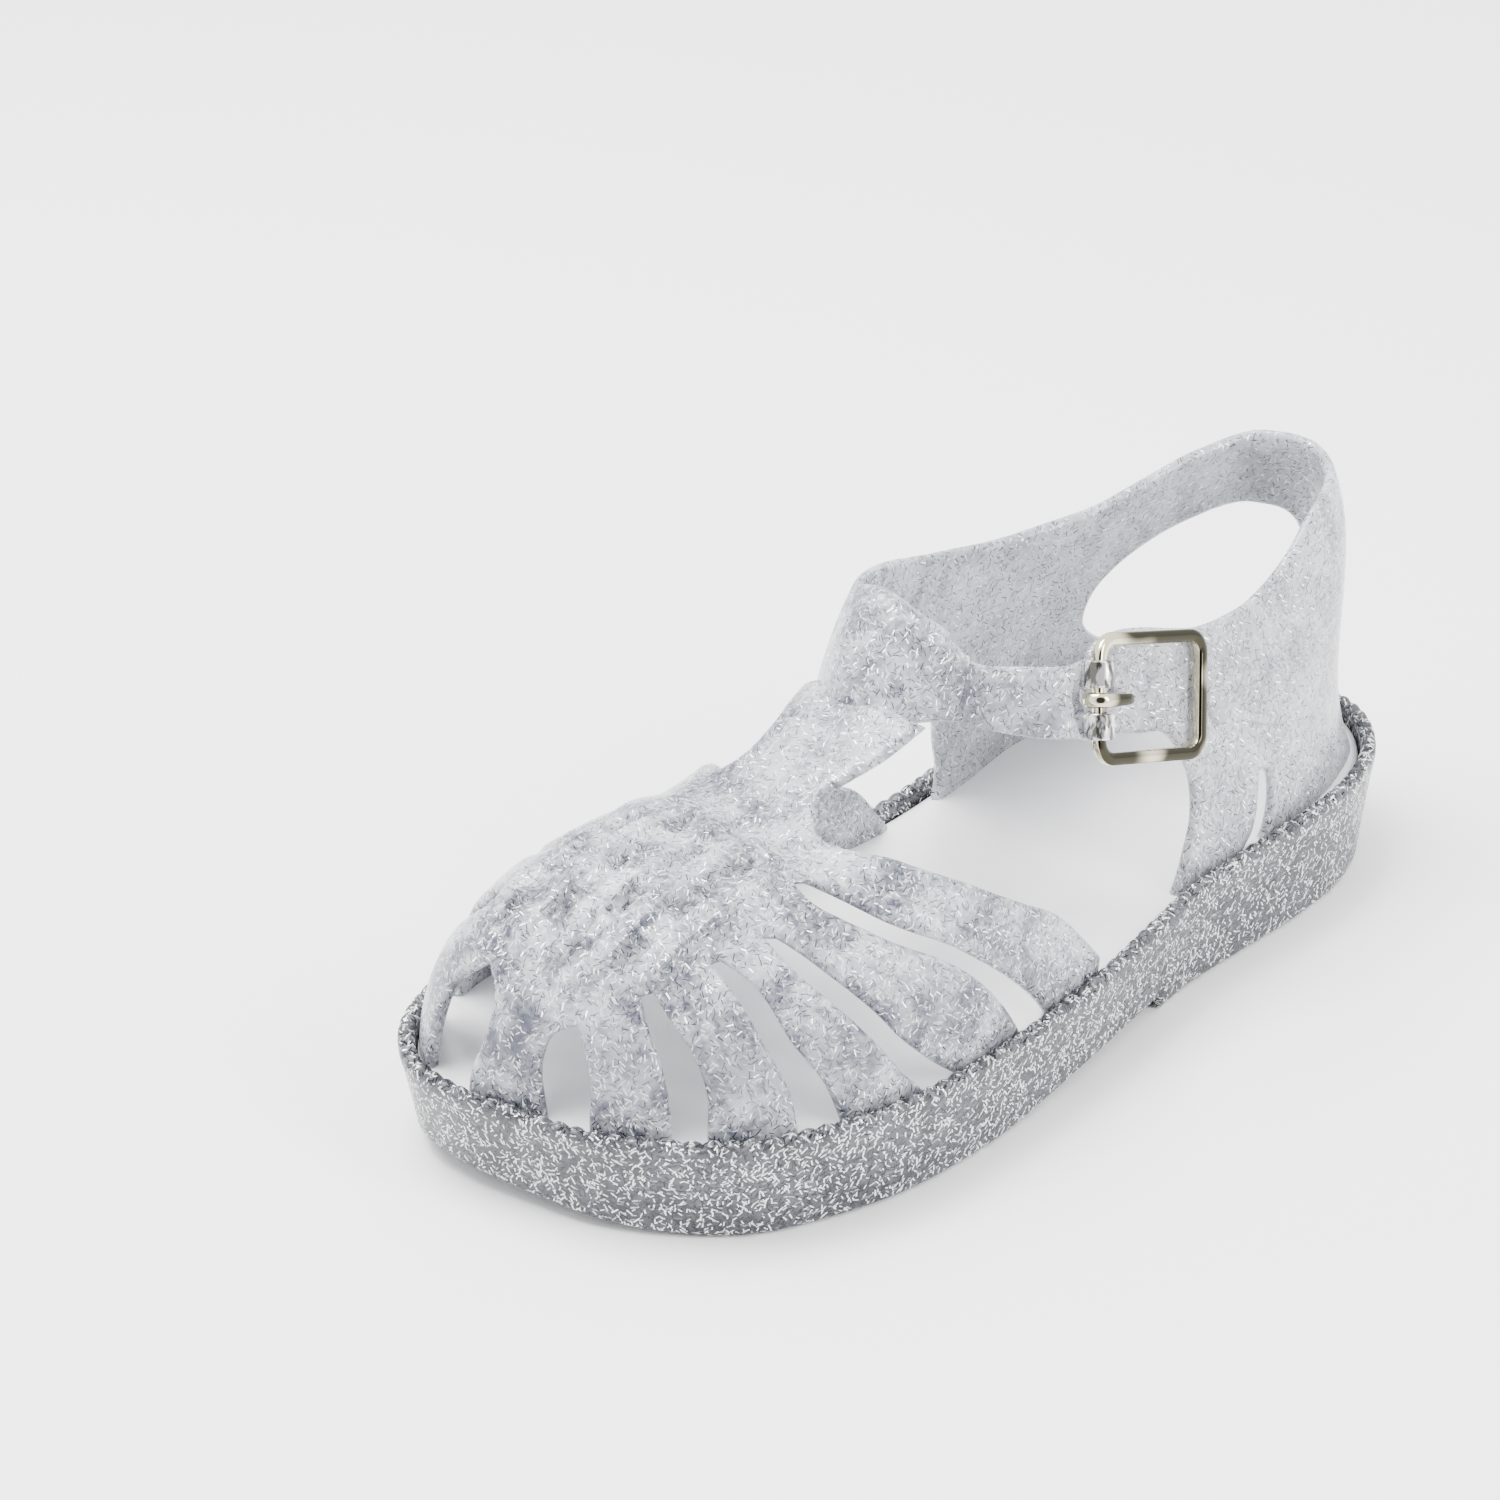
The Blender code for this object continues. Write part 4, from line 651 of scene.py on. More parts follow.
def slot_loop(rails, mirror):
    """One slot of the cage, run down the wall to the level of the footbed's edge."""
    stop = RIM_OVER_BED + 0.5 * BED_LIP
    centre = np.array([0.0, VAMP.centre])
    cut = []
    for points in rails:
        rail = open_curve(np.array(points) * (BALL, LENGTH), EDGE_STEP)
        if mirror:
            rail[:, 0] = 2 * MIDLINE * BALL - rail[:, 0]
        feet = VAMP.foot(rail[:, 0], rail[:, 1], stop)
        fan = rail[:, 1] < VAMP.centre
        length = np.where(fan, np.linalg.norm(rail - centre, axis=1), np.abs(rail[:, 0]))
        limit = np.where(fan, np.linalg.norm(feet - centre, axis=1), np.abs(feet[:, 0]))
        inner = rail[length < limit - 0.3 * EDGE_STEP]
        at = np.interp(0.0, (length - limit), np.arange(len(rail)))
        k = int(at)
        end = rail[k] + (rail[min(k + 1, len(rail) - 1)] - rail[k]) * (at - k)
        cut.append(np.vstack([inner, VAMP.foot(end[0], end[1], stop)]))
    front, back = cut
    same_start = np.linalg.norm(front[0] - back[0]) < 1e-6
    loop = np.vstack([front, back[::-1][:-1] if same_start else back[::-1]])
    middle = VAMP.foot(*(0.5 * (front[-1] + back[-1])), stop)
    return np.insert(loop, len(front), middle, axis=0)


def cage_outline():
    """Edge of the cage pattern: round the toe at the foot of its wall, and over the T-bar."""
    edges = []
    for table in (CAGE_BACK_OUTER, CAGE_BACK_INNER):
        rail = open_curve(np.array(table) * (BALL, LENGTH), EDGE_STEP)
        feet = VAMP.foot(rail[:, 0], rail[:, 1], FOOT_DROP)
        edges.append(rail[np.abs(rail[:, 0]) < np.abs(feet[:, 0]) - 0.3 * EDGE_STEP])
    outer, inner = edges
    reach = 0.03
    sides = []
    for start in (outer[0], inner[-1]):
        along = np.arange(start[1], VAMP.centre, -EDGE_STEP)
        sides.append(VAMP.foot(np.full(len(along), np.sign(start[0]) * reach), along, FOOT_DROP))
    turns = np.linspace(0.0, -math.pi, 46)
    toe = VAMP.foot(reach * np.cos(turns), VAMP.centre - 1e-6 + reach * np.sin(turns), FOOT_DROP)
    loop = np.vstack([inner, sides[1], toe[::-1], sides[0][::-1], outer])
    keep = np.linalg.norm(loop - np.roll(loop, 1, axis=0), axis=1) > 0.75 * EDGE_STEP
    return loop[keep]


def on_quarter(points):
    return np.array(points) * (QUARTERS.length, COLLAR)


def strap_lift(around):
    """How far the end of the ankle strap lies outside the tongue below it."""
    share = around / QUARTERS.length
    return (WALL + 2 * CLEARANCE) * smooth_step(share, LIFT_FROM, LIFT_FULL)


def strap_end():
    """The strap's end against the back of the sleeve, with a notch for the prong's eye."""
    end = (1 + SLEEVE_AT[0]) * QUARTERS.length - WIRE / 2 - CLEARANCE - 0.4 * SLEEVE_WALL
    middle = SLEEVE_AT[1] * COLLAR
    deep = end - NOTCH_DEPTH
    half = SLEEVE_LENGTH / 2
    notch = PRONG_GAP / 2
    rows = ((end, -half), (end, -notch), (deep, -notch), (deep, notch), (end, notch), (end, half))
    return np.array([(around, middle + up) for around, up in rows])


def quarter_outline():
    """Edge of heel, collar and strap, from the tongue round the heel to the strap's end at the sleeve."""
    front = open_curve(on_quarter(TONGUE_AND_FRONT), EDGE_STEP)
    inner = open_curve(on_quarter(INNER_FRONT), EDGE_STEP)
    top = open_curve(on_quarter(STRAP_TOP), EDGE_STEP)
    around = np.arange(front[-1, 0] + EDGE_STEP, inner[0, 0] - 0.5 * EDGE_STEP, EDGE_STEP)
    base = np.column_stack([around, np.full(len(around), front[-1, 1])])
    loop = np.vstack([front, base, inner, strap_end(), top])
    low = loop[:, 1] <= front[-1, 1] + 1e-6
    y = QUARTERS.point(loop[:, 0], loop[:, 1])[:, 1]
    loop[low, 1] = rim_height(y[low]) - FOOT_DROP
    return loop


def edge_height(table, shares):
    """Height of the strap's edge at shares of the quarter's length."""
    edge = open_curve(on_quarter(table), EDGE_STEP)
    edge = edge[np.argsort(edge[:, 0])]
    return np.interp(shares * QUARTERS.length, edge[:, 0], edge[:, 1])


class Seat:
    """Plane of the buckle: its front bar in the sleeve, its rear bar on the tongue."""

    def __init__(self):
        a0, z0 = SLEEVE_AT[0] * QUARTERS.length, SLEEVE_AT[1] * COLLAR
        a1, z1 = FRAME_END_AT[0] * QUARTERS.length, FRAME_END_AT[1] * COLLAR
        front_out = CLEARANCE + WALL + CLEARANCE + 0.5 * WIRE
        rear_out = REAR_GAP + 0.5 * WIRE
        front, _ = offset_point(QUARTERS, [a0], [z0], [front_out])
        rear, normal = offset_point(QUARTERS, [a1], [z1], [rear_out])
        self.front = Vector(front[0])
        along = (Vector(rear[0]) - self.front).normalized()
        out = Vector(normal[0])
        out = (out - out.dot(along) * along).normalized()
        across = out.cross(along)
        self.matrix = Matrix((along, across, out)).transposed().to_4x4()
        self.matrix.translation = self.front

    def pattern_hole(self):
        """Loop of the prong's hole in the tongue's pattern."""
        target = self.matrix @ Vector((PRONG_REACH - PRONG_SHORT, 0.0, 0.0))
        around = np.linspace(*HOLE_AROUND, 111) * QUARTERS.length
        heights = np.linspace(*HOLE_UP, 61) * COLLAR
        spots = [(a, z) for a in around for z in heights]
        away = [(Vector(QUARTERS.point([a], [z])[0]) - target).length for a, z in spots]
        a, z = spots[int(np.argmin(away))]
        turns = np.linspace(0, 2 * math.pi, 8, endpoint=False)
        return np.column_stack([a + PRONG_HOLE * np.cos(turns), z + PRONG_HOLE * np.sin(turns)])


def tube_in_plane(path, radii, sides):
    """A tube whose path stays in the plane y = 0, with each point's half width along y and half thickness."""
    vertices = []
    count = len(path)
    for i, here in enumerate(path):
        ahead = Vector(path[min(i + 1, count - 1)])
        behind = Vector(path[max(i - 1, 0)])
        along = (ahead - behind).normalized()
        up = along.cross(Vector((0, 1, 0))).normalized()
        wide, thick = radii[i]
        for k in range(sides):
            turn = 2 * math.pi * (k + 0.5) / sides
            offset = Vector((0, 1, 0)) * (math.cos(turn) * wide) + up * (math.sin(turn) * thick)
            vertices.append(Vector(here) + offset)
    ends = [tuple(range(sides)), tuple(range((count - 1) * sides, count * sides))]
    return vertices, ring_faces(count, sides) + ends


RIM = Outline()
VAMP = Vamp()
QUARTERS = Quarter()


def new_object(name, vertices, faces, mat, slot, node):
    """A smooth piece with outward faces that rides on the shoe and takes the place of its CAD node."""
    mesh = bpy.data.meshes.new(name)
    mesh.from_pydata([tuple(v) for v in vertices], [], [tuple(int(i) for i in f) for f in faces])
    bm = bmesh.new()
    bm.from_mesh(mesh)
    bmesh.ops.recalc_face_normals(bm, faces=bm.faces)
    if bm.calc_volume(signed=True) < 0:
        bmesh.ops.reverse_faces(bm, faces=bm.faces)
    bm.to_mesh(mesh)
    bm.free()
    mesh.shade_smooth()
    mesh.set_sharp_from_angle(angle=math.radians(SHARP_ANGLE))
    mesh.materials.append(mat)
    obj = bpy.data.objects.new(name, mesh)
    bpy.context.scene.collection.objects.link(obj)
    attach(obj, "root")
    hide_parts(node)
    return obj


def edge_rows(loops, distances):
    """Points just inside the edges of a pattern, for its rounded rim."""
    rows = []
    reach = []
    for k, loop in enumerate(loops):
        area = 0.5 * np.sum(loop[:, 0] * np.roll(loop[:, 1], -1) - np.roll(loop[:, 0], -1) * loop[:, 1])
        turn = np.sign(area) * (1 if k == 0 else -1)
        for distance in distances:
            rows.append(loop - turn * distance * outward(loop))
            reach.append(np.full(len(loop), distance))
    points, reach = np.vstack(rows), np.concatenate(reach)
    keep = on_sheet(loops, points)
    points, reach = points[keep], reach[keep]
    return points[clearance(loops, points) > 0.85 * reach]


def rounded(distance, radius):
    """Share of the full half thickness at this distance from an edge."""
    t = np.clip(distance / radius, 0.0, 1.0)
    return np.maximum(np.sqrt(1 - (1 - t) ** 2), THINNEST)


def skin(surface, loops, extra, rise, lift, wall=WALL, radius=WALL_ROUND):
    """Vertices and faces of a moulded wall with rounded edges, cut to the pattern's loops."""
    extra = np.vstack([extra, edge_rows(loops, [share * radius for share in ROUND_ROWS])])
    points, faces = triangulate(loops, extra)
    a, b = points[:, 0], points[:, 1]
    half = 0.5 * wall * rounded(clearance(loops, points), radius)
    middle = lift(a, b) - 0.5 * wall
    outer, _ = offset_point(surface, a, b, middle + half + rise(a, b))
    inner, _ = offset_point(surface, a, b, middle - half)
    count = len(points)
    directed = {(f[i], f[(i + 1) % 3]) for f in faces for i in range(3)}
    skirt = [(j, i, i + count, j + count) for i, j in directed if (j, i) not in directed]
    return np.vstack([outer, inner]), [*faces, *(faces[:, ::-1] + count), *skirt]


def nothing(a, b):
    return np.zeros(len(a))


def smooth_loop(table):
    """A rounded loop of the quarter's pattern."""
    points = on_quarter(table)
    length = np.linalg.norm(np.roll(points, -1, 0) - points, axis=1).sum()
    return closed_curve(points, max(12, int(length / EDGE_STEP)))


def weave_rise(across, along):
    """Height of the weave above the wall: raised strips along the foot, cross strips between them."""
    column = (across - MIDLINE * BALL) / STRIP_PITCH
    near = np.clip(np.round(column), -(STRIPS // 2), STRIPS // 2)
    start, end = WEAVE_FROM * LENGTH, WEAVE_TO * LENGTH
    from_centre = np.abs(column - near) * STRIP_PITCH
    strip = 1 - smooth_step(from_centre, *(share * STRIP_WIDTH for share in STRIP_SIDES))
    fade = smooth_step(along, start, start + WEAVE_FADE_FRONT)
    fade = fade * (1 - smooth_step(along, end - WEAVE_FADE_BACK, end))
    row = along / ROW_PITCH
    over = 0.5 + 0.5 * np.cos(math.pi * (row + near))
    cross = smooth_step(np.cos(math.pi * (row + np.floor(column))), -0.25, 0.25)
    in_cells = smooth_step(STRIPS / 2 - CELL_MARGIN - np.abs(column), 0.0, CELL_FADE)
    between = (1 - strip) * in_cells * (CROSS_RISE * cross - CROSS_SINK * (1 - cross))
    raised = strip * (STRIP_UNDER + STRIP_OVER * over) * (np.abs(column - near) < 0.5)
    return STRIP_RISE * fade * (raised + between)


def weave_holes():
    """Small openings where the recesses of the weave show the foot below."""
    turns = np.linspace(0, 2 * math.pi, 10, endpoint=False)
    across, along = HOLE_OVAL
    oval = np.column_stack([across * WEAVE_HOLE * np.cos(turns), along * WEAVE_HOLE * np.sin(turns)])
    rows = range(int(WEAVE_FROM * LENGTH / ROW_PITCH) + 1, int(WEAVE_TO * LENGTH / ROW_PITCH) - 1)
    holes = []
    for cell in range(-(STRIPS // 2), STRIPS // 2):
        middle = MIDLINE * BALL + (cell + 0.5) * STRIP_PITCH
        holes += [oval + (middle, row * ROW_PITCH) for row in rows if (row + cell) % 2]
    return holes


def block_points(low, high, step):
    x, y = np.meshgrid(np.arange(low[0], high[0], step), np.arange(low[1], high[1], step))
    return np.column_stack([x.ravel(), y.ravel()])


def cage_skin():
    """Toe cap, weave, side straps and T-bar."""
    outline = cage_outline()
    slots = [slot_loop(rails, mirror) for rails in SLOTS for mirror in (False, True)]
    loops = [outline, *slots, *weave_holes()]
    half = STRIPS / 2 * STRIP_PITCH
    low = (MIDLINE * BALL - half, WEAVE_FROM * LENGTH)
    high = (MIDLINE * BALL + half, WEAVE_TO * LENGTH)
    weave = within(loops, block_points(low, high, WEAVE_GRID), SHEET_CLEAR)
    grid = grid_points([outline, *slots], SHEET_GRID)
    margin = 0.5 * SHEET_GRID
    apart = np.any((grid < np.array(low) - margin) | (grid > np.array(high) + margin), axis=1)
    grid = within(loops, grid[apart], SHEET_CLEAR)
    return skin(VAMP, loops, np.vstack([weave, grid]), weave_rise, nothing)


def quarter_skin(prong_hole):
    """Heel counter, collar, tongue and ankle strap."""
    loops = [quarter_outline(), smooth_loop(WINDOW), smooth_loop(HEEL_SLIT), prong_hole]
    grid = within(loops, grid_points(loops, SHEET_GRID), SHEET_CLEAR)
    return skin(QUARTERS, loops, grid, bar_rise, lambda a, b: strap_lift(a))


def bar_rise(around, height):
    """Short raised bars on the outer heel."""
    a = around / QUARTERS.length
    b = height / COLLAR
    rise = np.zeros(len(around))
    for k in range(BARS):
        level = BAR_LEVEL + BAR_PITCH * k - BAR_SLOPE * (a - BAR_MIDDLE)
        bar = 1 - smooth_step(np.abs(b - level) * COLLAR, *BAR_EDGE)
        rise += BAR_RISE * bar * smooth_step(a, *BAR_START) * (1 - smooth_step(a, *BAR_END))
    return rise


def loop_skin():
    """Folded end of the T-bar round the ankle strap, thick in its middle and thin towards both ends."""
    shares = np.linspace(*LOOP_ENDS, LOOP_STATIONS)
    window = np.ones(LOOP_SMOOTH) / LOOP_SMOOTH
    low, high = (
        np.convolve(np.pad(edge_height(table, shares), LOOP_SMOOTH // 2, "edge"), window, "valid")
        for table in (INNER_FRONT, STRAP_TOP)
    )
    ring = closed_curve(LOOP_SECTION, LOOP_SIDES)
    vertices = []
    for i, (share, bottom, top) in enumerate(zip(shares, low, high)):
        end = min(i, len(shares) - 1 - i) / (0.5 * len(shares))
        swell = float(smooth_step(end, 0.0, LOOP_TAPER))
        space = LOOP_CLOSE + (CLEARANCE - LOOP_CLOSE) * swell
        thick = WALL * (LOOP_THIN + (1 - LOOP_THIN) * swell)
        roll = LOOP_ROLL * WALL * (LOOP_ROLL_THIN + (1 - LOOP_ROLL_THIN) * swell)
        rows = []
        for reach, spread in ((0.5 * WALL + space, space), (0.5 * WALL + space + thick, space + roll)):
            up = (bottom - spread) + (0.5 + 0.5 * ring[:, 1]) * (top - bottom + 2 * spread)
            rows.append(np.column_stack([-0.5 * WALL + ring[:, 0] * reach, up]))
        out, up = np.vstack(rows).T
        vertices.append(offset_point(QUARTERS, np.full(len(up), share * QUARTERS.length), up, out)[0])
    count = len(ring)
    size = 2 * count
    faces = []
    for k in range(len(shares) - 1):
        for first in (k * size, k * size + count):
            faces += bridge(first, first + size, count)
    for first in (0, (len(shares) - 1) * size):
        faces += bridge(first, first + count, count)
    return np.vstack(vertices), faces


def root_skin():
    """The strap's raised root on the outer heel."""
    loop = smooth_loop(STRAP_ROOT)
    grid = within([loop], grid_points([loop], SHEET_GRID), SHEET_CLEAR)

    def lift(a, b):
        return np.full(len(a), ROOT_LIFT)

    return skin(QUARTERS, [loop], grid, nothing, lift, ROOT_WALL, ROOT_ROUND)


def sleeve_skin(seat):
    """The strap's end rolled round the front bar, in two halves beside the prong."""
    bore = WIRE / 2 + CLEARANCE
    length = (SLEEVE_LENGTH - PRONG_GAP) / 2
    section = [(bore, 0.0)]
    for degrees in range(0, 91, 18):
        turn = math.radians(degrees)
        out = bore + SLEEVE_WALL - SLEEVE_ROUND * (1 - math.sin(turn))
        section.append((out, SLEEVE_ROUND * (1 - math.cos(turn))))
    profile = section + [(radius, length - y) for radius, y in reversed(section)]
    sides = 32
    vertices = []
    faces = []
    for side in (-1, 1):
        faces += ring_faces(len(profile), sides, len(vertices), closed=True)
        for radius, y in profile:
            for k in range(sides):
                turn = 2 * math.pi * k / sides
                point = Vector((radius * math.cos(turn), side * (PRONG_GAP / 2 + y), radius * math.sin(turn)))
                vertices.append(tuple(seat.matrix @ point))
    return vertices, faces


def sole_profile():
    """Side of the sole from its underside to the seat: inset, base of its height, that height, rib share."""
    rows = []
    for degrees in range(0, 91, 15):
        turn = math.radians(degrees)
        inset = SIDE_DRAFT + EDGE_ROUND * (1 - math.sin(turn))
        rows.append((inset, "ground", EDGE_ROUND * (1 - math.cos(turn)), 0.0))
    for share in (0.25, 0.45, 0.62, 0.76, 0.86):
        rows.append((SIDE_DRAFT * (1 - share) ** 0.8, "side", share, 0.0))
    rows.append((0.00005, "rim", RIM_GROOVE, 0.0))
    rows.append((0.0, "rim", RIM_OUTER_LIP, 0.15))
    middle = RIM_WIDTH / 2
    for degrees in range(180, -1, -20):
        turn = math.radians(degrees)
        drop = RIM_ROUND * (1 - math.sin(turn))
        rows.append((middle + middle * math.cos(turn), "rim", drop, 0.3 + 0.7 * math.sin(turn)))
    rows.append((RIM_WIDTH, "rim", RIM_INNER_LIP, 0.15))
    rows.append((RIM_WIDTH, "rim", RIM_OVER_BED + BED_THICK, 0.0))
    return rows


def sole_skin():
    """Flatform sole with its ribbed rim, its heel step and the seat of the footbed."""
    n = SOLE_STATIONS
    stations = RIM.stations(n)
    y = RIM.ring(0.0, stations)[:, 1]
    low, top = ground(y), rim_height(y)
    heights = {
        "ground": lambda value: low + value,
        "side": lambda value: low + EDGE_ROUND + value * (top - RIM_GROOVE - low - EDGE_ROUND),
        "rim": lambda value: top - value,
    }
    wave = np.abs(np.cos(0.5 * (2 * math.pi * np.arange(n) / RIB_SAMPLES))) * 2 - RIB_LEVEL
    rows = []
    for inset, base, value, share in sole_profile():
        z = heights[base](value) + share * RIB_RISE * RIB_SWELL * wave
        rows.append(np.column_stack([RIM.ring(inset, stations), z]))
    faces = ring_faces(len(rows), n)
    vertices = np.vstack(rows)
    loop = vertices[:n, :2]
    extra = grid_points([loop], SOLE_GRID)
    line = np.linspace(-STEP_HALF, STEP_HALF, STEP_SAMPLES)
    for level in (HEEL_STEP_AT * LENGTH, HEEL_STEP_AT * LENGTH + STEP_RUN):
        row = within([loop], np.column_stack([line, np.full(len(line), level)]), STEP_CLEAR / 2)
        extra = np.vstack([extra[np.abs(extra[:, 1] - level) > STEP_CLEAR], row])
    vertices = fill_ring(vertices, faces, 0, n, extra, lambda p: ground(p[:, 1]))
    first = (len(rows) - 1) * n
    extra = grid_points([vertices[first:first + n, :2]], SOLE_GRID)

    def seat_height(p):
        return rim_height(p[:, 1]) - RIM_OVER_BED - BED_THICK

    return fill_ring(vertices, faces, first, n, extra, seat_height), faces


def bed_skin():
    """Pearl footbed, out to the rim, with a softly rounded edge and a shallow dish."""
    n = BED_STATIONS
    rows = []
    for inset, drop in BED_EDGE:
        xy = RIM.ring(RIM_WIDTH + BED_GAP + inset, RIM.stations(n))
        rows.append(np.column_stack([xy, bed_height(xy[:, 1]) - drop]))
    faces = ring_faces(len(rows), n)
    vertices = np.vstack(rows)
    for first in (0, (len(rows) - 1) * n):
        loop = vertices[first:first + n, :2]

        def height(p):
            dish = BED_DISH * smooth_step(clearance([loop], p), 0.0, BED_DISH_RUN)
            return bed_height(p[:, 1]) - (dish if first == 0 else BED_LIP)

        vertices = fill_ring(vertices, faces, first, n, grid_points([loop], BED_GRID), height)
    return vertices, faces


def frame_skin(seat):
    """Square wire of the buckle, with flattened outer face and softly rounded corners."""
    half = FRAME_WIDTH / 2
    arcs = []
    corners = ((FRAME_LENGTH, half, 0), (0.0, half, 90), (0.0, -half, 180), (FRAME_LENGTH, -half, 270))
    for x, y, start in corners:
        centre = (x - math.copysign(FRAME_CORNER, x - FRAME_LENGTH / 2), y - math.copysign(FRAME_CORNER, y))
        turns = np.radians(start + np.linspace(0, 90, 13))
        arcs.append(np.column_stack([np.cos(turns), np.sin(turns)]) * FRAME_CORNER + centre)
    path = []
    for arc, after in zip(arcs, [*arcs[1:], arcs[0]]):
        path += [arc, arc[-1] + (after[0] - arc[-1]) * np.arange(1, 8)[:, None] / 8]
    path = np.vstack(path)
    sides = 24
    vertices = []
    for (x, y), (nx, ny) in zip(path, outward(path)):
        for k in range(sides):
            turn = 2 * math.pi * k / sides
            c, s = (math.copysign(abs(v) ** WIRE_SQUARE, v) for v in (math.cos(turn), math.sin(turn)))
            wide = 0.5 * WIRE * c
            vertices.append(tuple(seat.matrix @ Vector((x + nx * wide, y + ny * wide, WIRE_HIGH * WIRE * s))))
    return vertices, ring_faces(len(path), sides, closed=True)


def prong_skin(seat):
    """Prong: its eye round the front bar and its tongue into the strap."""
    eye = WIRE / 2 + CLEARANCE + PRONG_THICK / 2
    flat = (PRONG_WIDE / 2, PRONG_THICK / 2)
    turns = [math.radians(degrees) for degrees in range(*EYE_TURN)]
    path = [(eye * math.cos(turn), 0.0, eye * math.sin(turn)) for turn in turns]
    radii = [flat] * len(path)
    reach = open_curve([(0.0, 1.0), *PRONG_PATH], 0.06)
    for share, up in reach[1:]:
        path.append((share * PRONG_REACH, 0.0, up * eye))
        radii.append(tuple(size * (1 - taper * share) for size, taper in zip(flat, PRONG_TAPER)))
    vertices, faces = tube_in_plane(path, radii, 20)
    return [tuple(seat.matrix @ v) for v in vertices], faces


class Nodes:
    """Short helpers for building one node tree."""

    MIX_SOCKETS = {"FLOAT": (2, 3, 0), "VECTOR": (4, 5, 1), "RGBA": (6, 7, 2)}

    def __init__(self, tree):
        self.nodes = tree.nodes
        self.links = tree.links

    def add(self, kind, inputs=(), **settings):
        node = self.nodes.new(kind)
        for key, value in settings.items():
            setattr(node, key, value)
        return self.fill(node, inputs)

    def fill(self, node, inputs):
        """Links or sets a node's inputs."""
        for key, value in dict(inputs).items():
            if isinstance(value, bpy.types.NodeSocket):
                self.links.new(value, node.inputs[key])
            else:
                node.inputs[key].default_value = value
        return node

    def group(self, tree, **values):
        return self.add("ShaderNodeGroup", values, node_tree=tree).outputs

    def place(self):
        return self.add("ShaderNodeTexCoord").outputs["Object"]

    def axes(self):
        return self.add("ShaderNodeSeparateXYZ", {0: self.place()}).outputs

    def math(self, operation, a, b=0.0):
        return self.add("ShaderNodeMath", {0: a, 1: b}, operation=operation).outputs[0]

    def times(self, value, *factors):
        for factor in factors:
            value = self.math("MULTIPLY", value, factor)
        return value

    def vector(self, operation, a, b=(0.0, 0.0, 0.0)):
        node = self.add("ShaderNodeVectorMath", {0: a, 1: b}, operation=operation)
        return node.outputs["Value" if operation in ("DOT_PRODUCT", "LENGTH") else "Vector"]

    def scaled(self, vector, factor):
        node = self.add("ShaderNodeVectorMath", {0: vector, "Scale": factor}, operation="SCALE")
        return node.outputs["Vector"]

    def noise(self, vector, scale, detail=3.0, rough=0.55):
        inputs = {"Vector": vector, "Scale": scale, "Detail": detail, "Roughness": rough}
        return self.add("ShaderNodeTexNoise", inputs).outputs["Fac"]

    def ramp(self, value, low, high, to_low=0.0, to_high=1.0):
        inputs = {"Value": value, "From Min": low, "From Max": high, "To Min": to_low, "To Max": to_high}
        return self.add("ShaderNodeMapRange", inputs, interpolation_type="SMOOTHSTEP").outputs["Result"]

    def mix(self, factor, a, b, kind="RGBA"):
        """A blend of two values; plain colours are given without their alpha."""
        if kind == "RGBA":
            a, b = (c if isinstance(c, bpy.types.NodeSocket) else (*c, 1.0) for c in (a, b))
        first, second, out = self.MIX_SOCKETS[kind]
        return self.add("ShaderNodeMix", {0: factor, first: a, second: b}, data_type=kind).outputs[out]


def group_tree(name, inputs, outputs):
    """A node group with these sockets, its helpers, its input sockets and its output node."""
    tree = bpy.data.node_groups.new(name, "ShaderNodeTree")
    for label, kind, default in inputs:
        tree.interface.new_socket(name=label, in_out="INPUT", socket_type=kind).default_value = default
    for label, kind in outputs:
        tree.interface.new_socket(name=label, in_out="OUTPUT", socket_type=kind)
    kit = Nodes(tree)
    return tree, kit, kit.add("NodeGroupInput").outputs, kit.add("NodeGroupOutput")


def needle_group():
    """Thin glitter needles that lie along the surface: a mask, a random brightness and a tilt for each."""
    tree, kit, start, end = group_tree(
        "Glitter Needles",
        (
            ("Scale", "NodeSocketFloat", 900.0),
            ("Length", "NodeSocketFloat", 0.45),
            ("Width", "NodeSocketFloat", 0.07),
            ("Shift", "NodeSocketVector", (0.0, 0.0, 0.0)),
        ),
        (("Mask", "NodeSocketFloat"), ("Shine", "NodeSocketFloat"), ("Tilt", "NodeSocketVector")),
    )
    normal = kit.add("ShaderNodeNewGeometry").outputs["Normal"]
    scaled = kit.scaled(kit.vector("ADD", kit.place(), start["Shift"]), start["Scale"])
    inputs = {"Vector": scaled, "Scale": 1.0, "Randomness": 1.0}
    cells = kit.add("ShaderNodeTexVoronoi", inputs, voronoi_dimensions="3D").outputs
    local = kit.vector("SUBTRACT", scaled, cells["Position"])
    spread = kit.vector("SUBTRACT", cells["Color"], (0.5, 0.5, 0.5))
    off = kit.scaled(normal, kit.vector("DOT_PRODUCT", spread, normal))
    along = kit.vector("NORMALIZE", kit.vector("SUBTRACT", spread, off))
    run = kit.vector("DOT_PRODUCT", local, along)
    depth = kit.vector("DOT_PRODUCT", local, normal)
    flat = kit.vector("SUBTRACT", local, kit.scaled(normal, depth))
    across = kit.vector("LENGTH", kit.vector("SUBTRACT", flat, kit.scaled(along, run)))
    wide = kit.math("LESS_THAN", across, start["Width"])
    long = kit.math("LESS_THAN", kit.math("ABSOLUTE", run), start["Length"])
    near = kit.math("LESS_THAN", kit.math("ABSOLUTE", depth), 0.45)
    shine = kit.add("ShaderNodeSeparateColor", {0: cells["Color"]}).outputs[2]
    kit.fill(end, {"Mask": kit.times(wide, long, near), "Shine": shine, "Tilt": spread})
    return tree


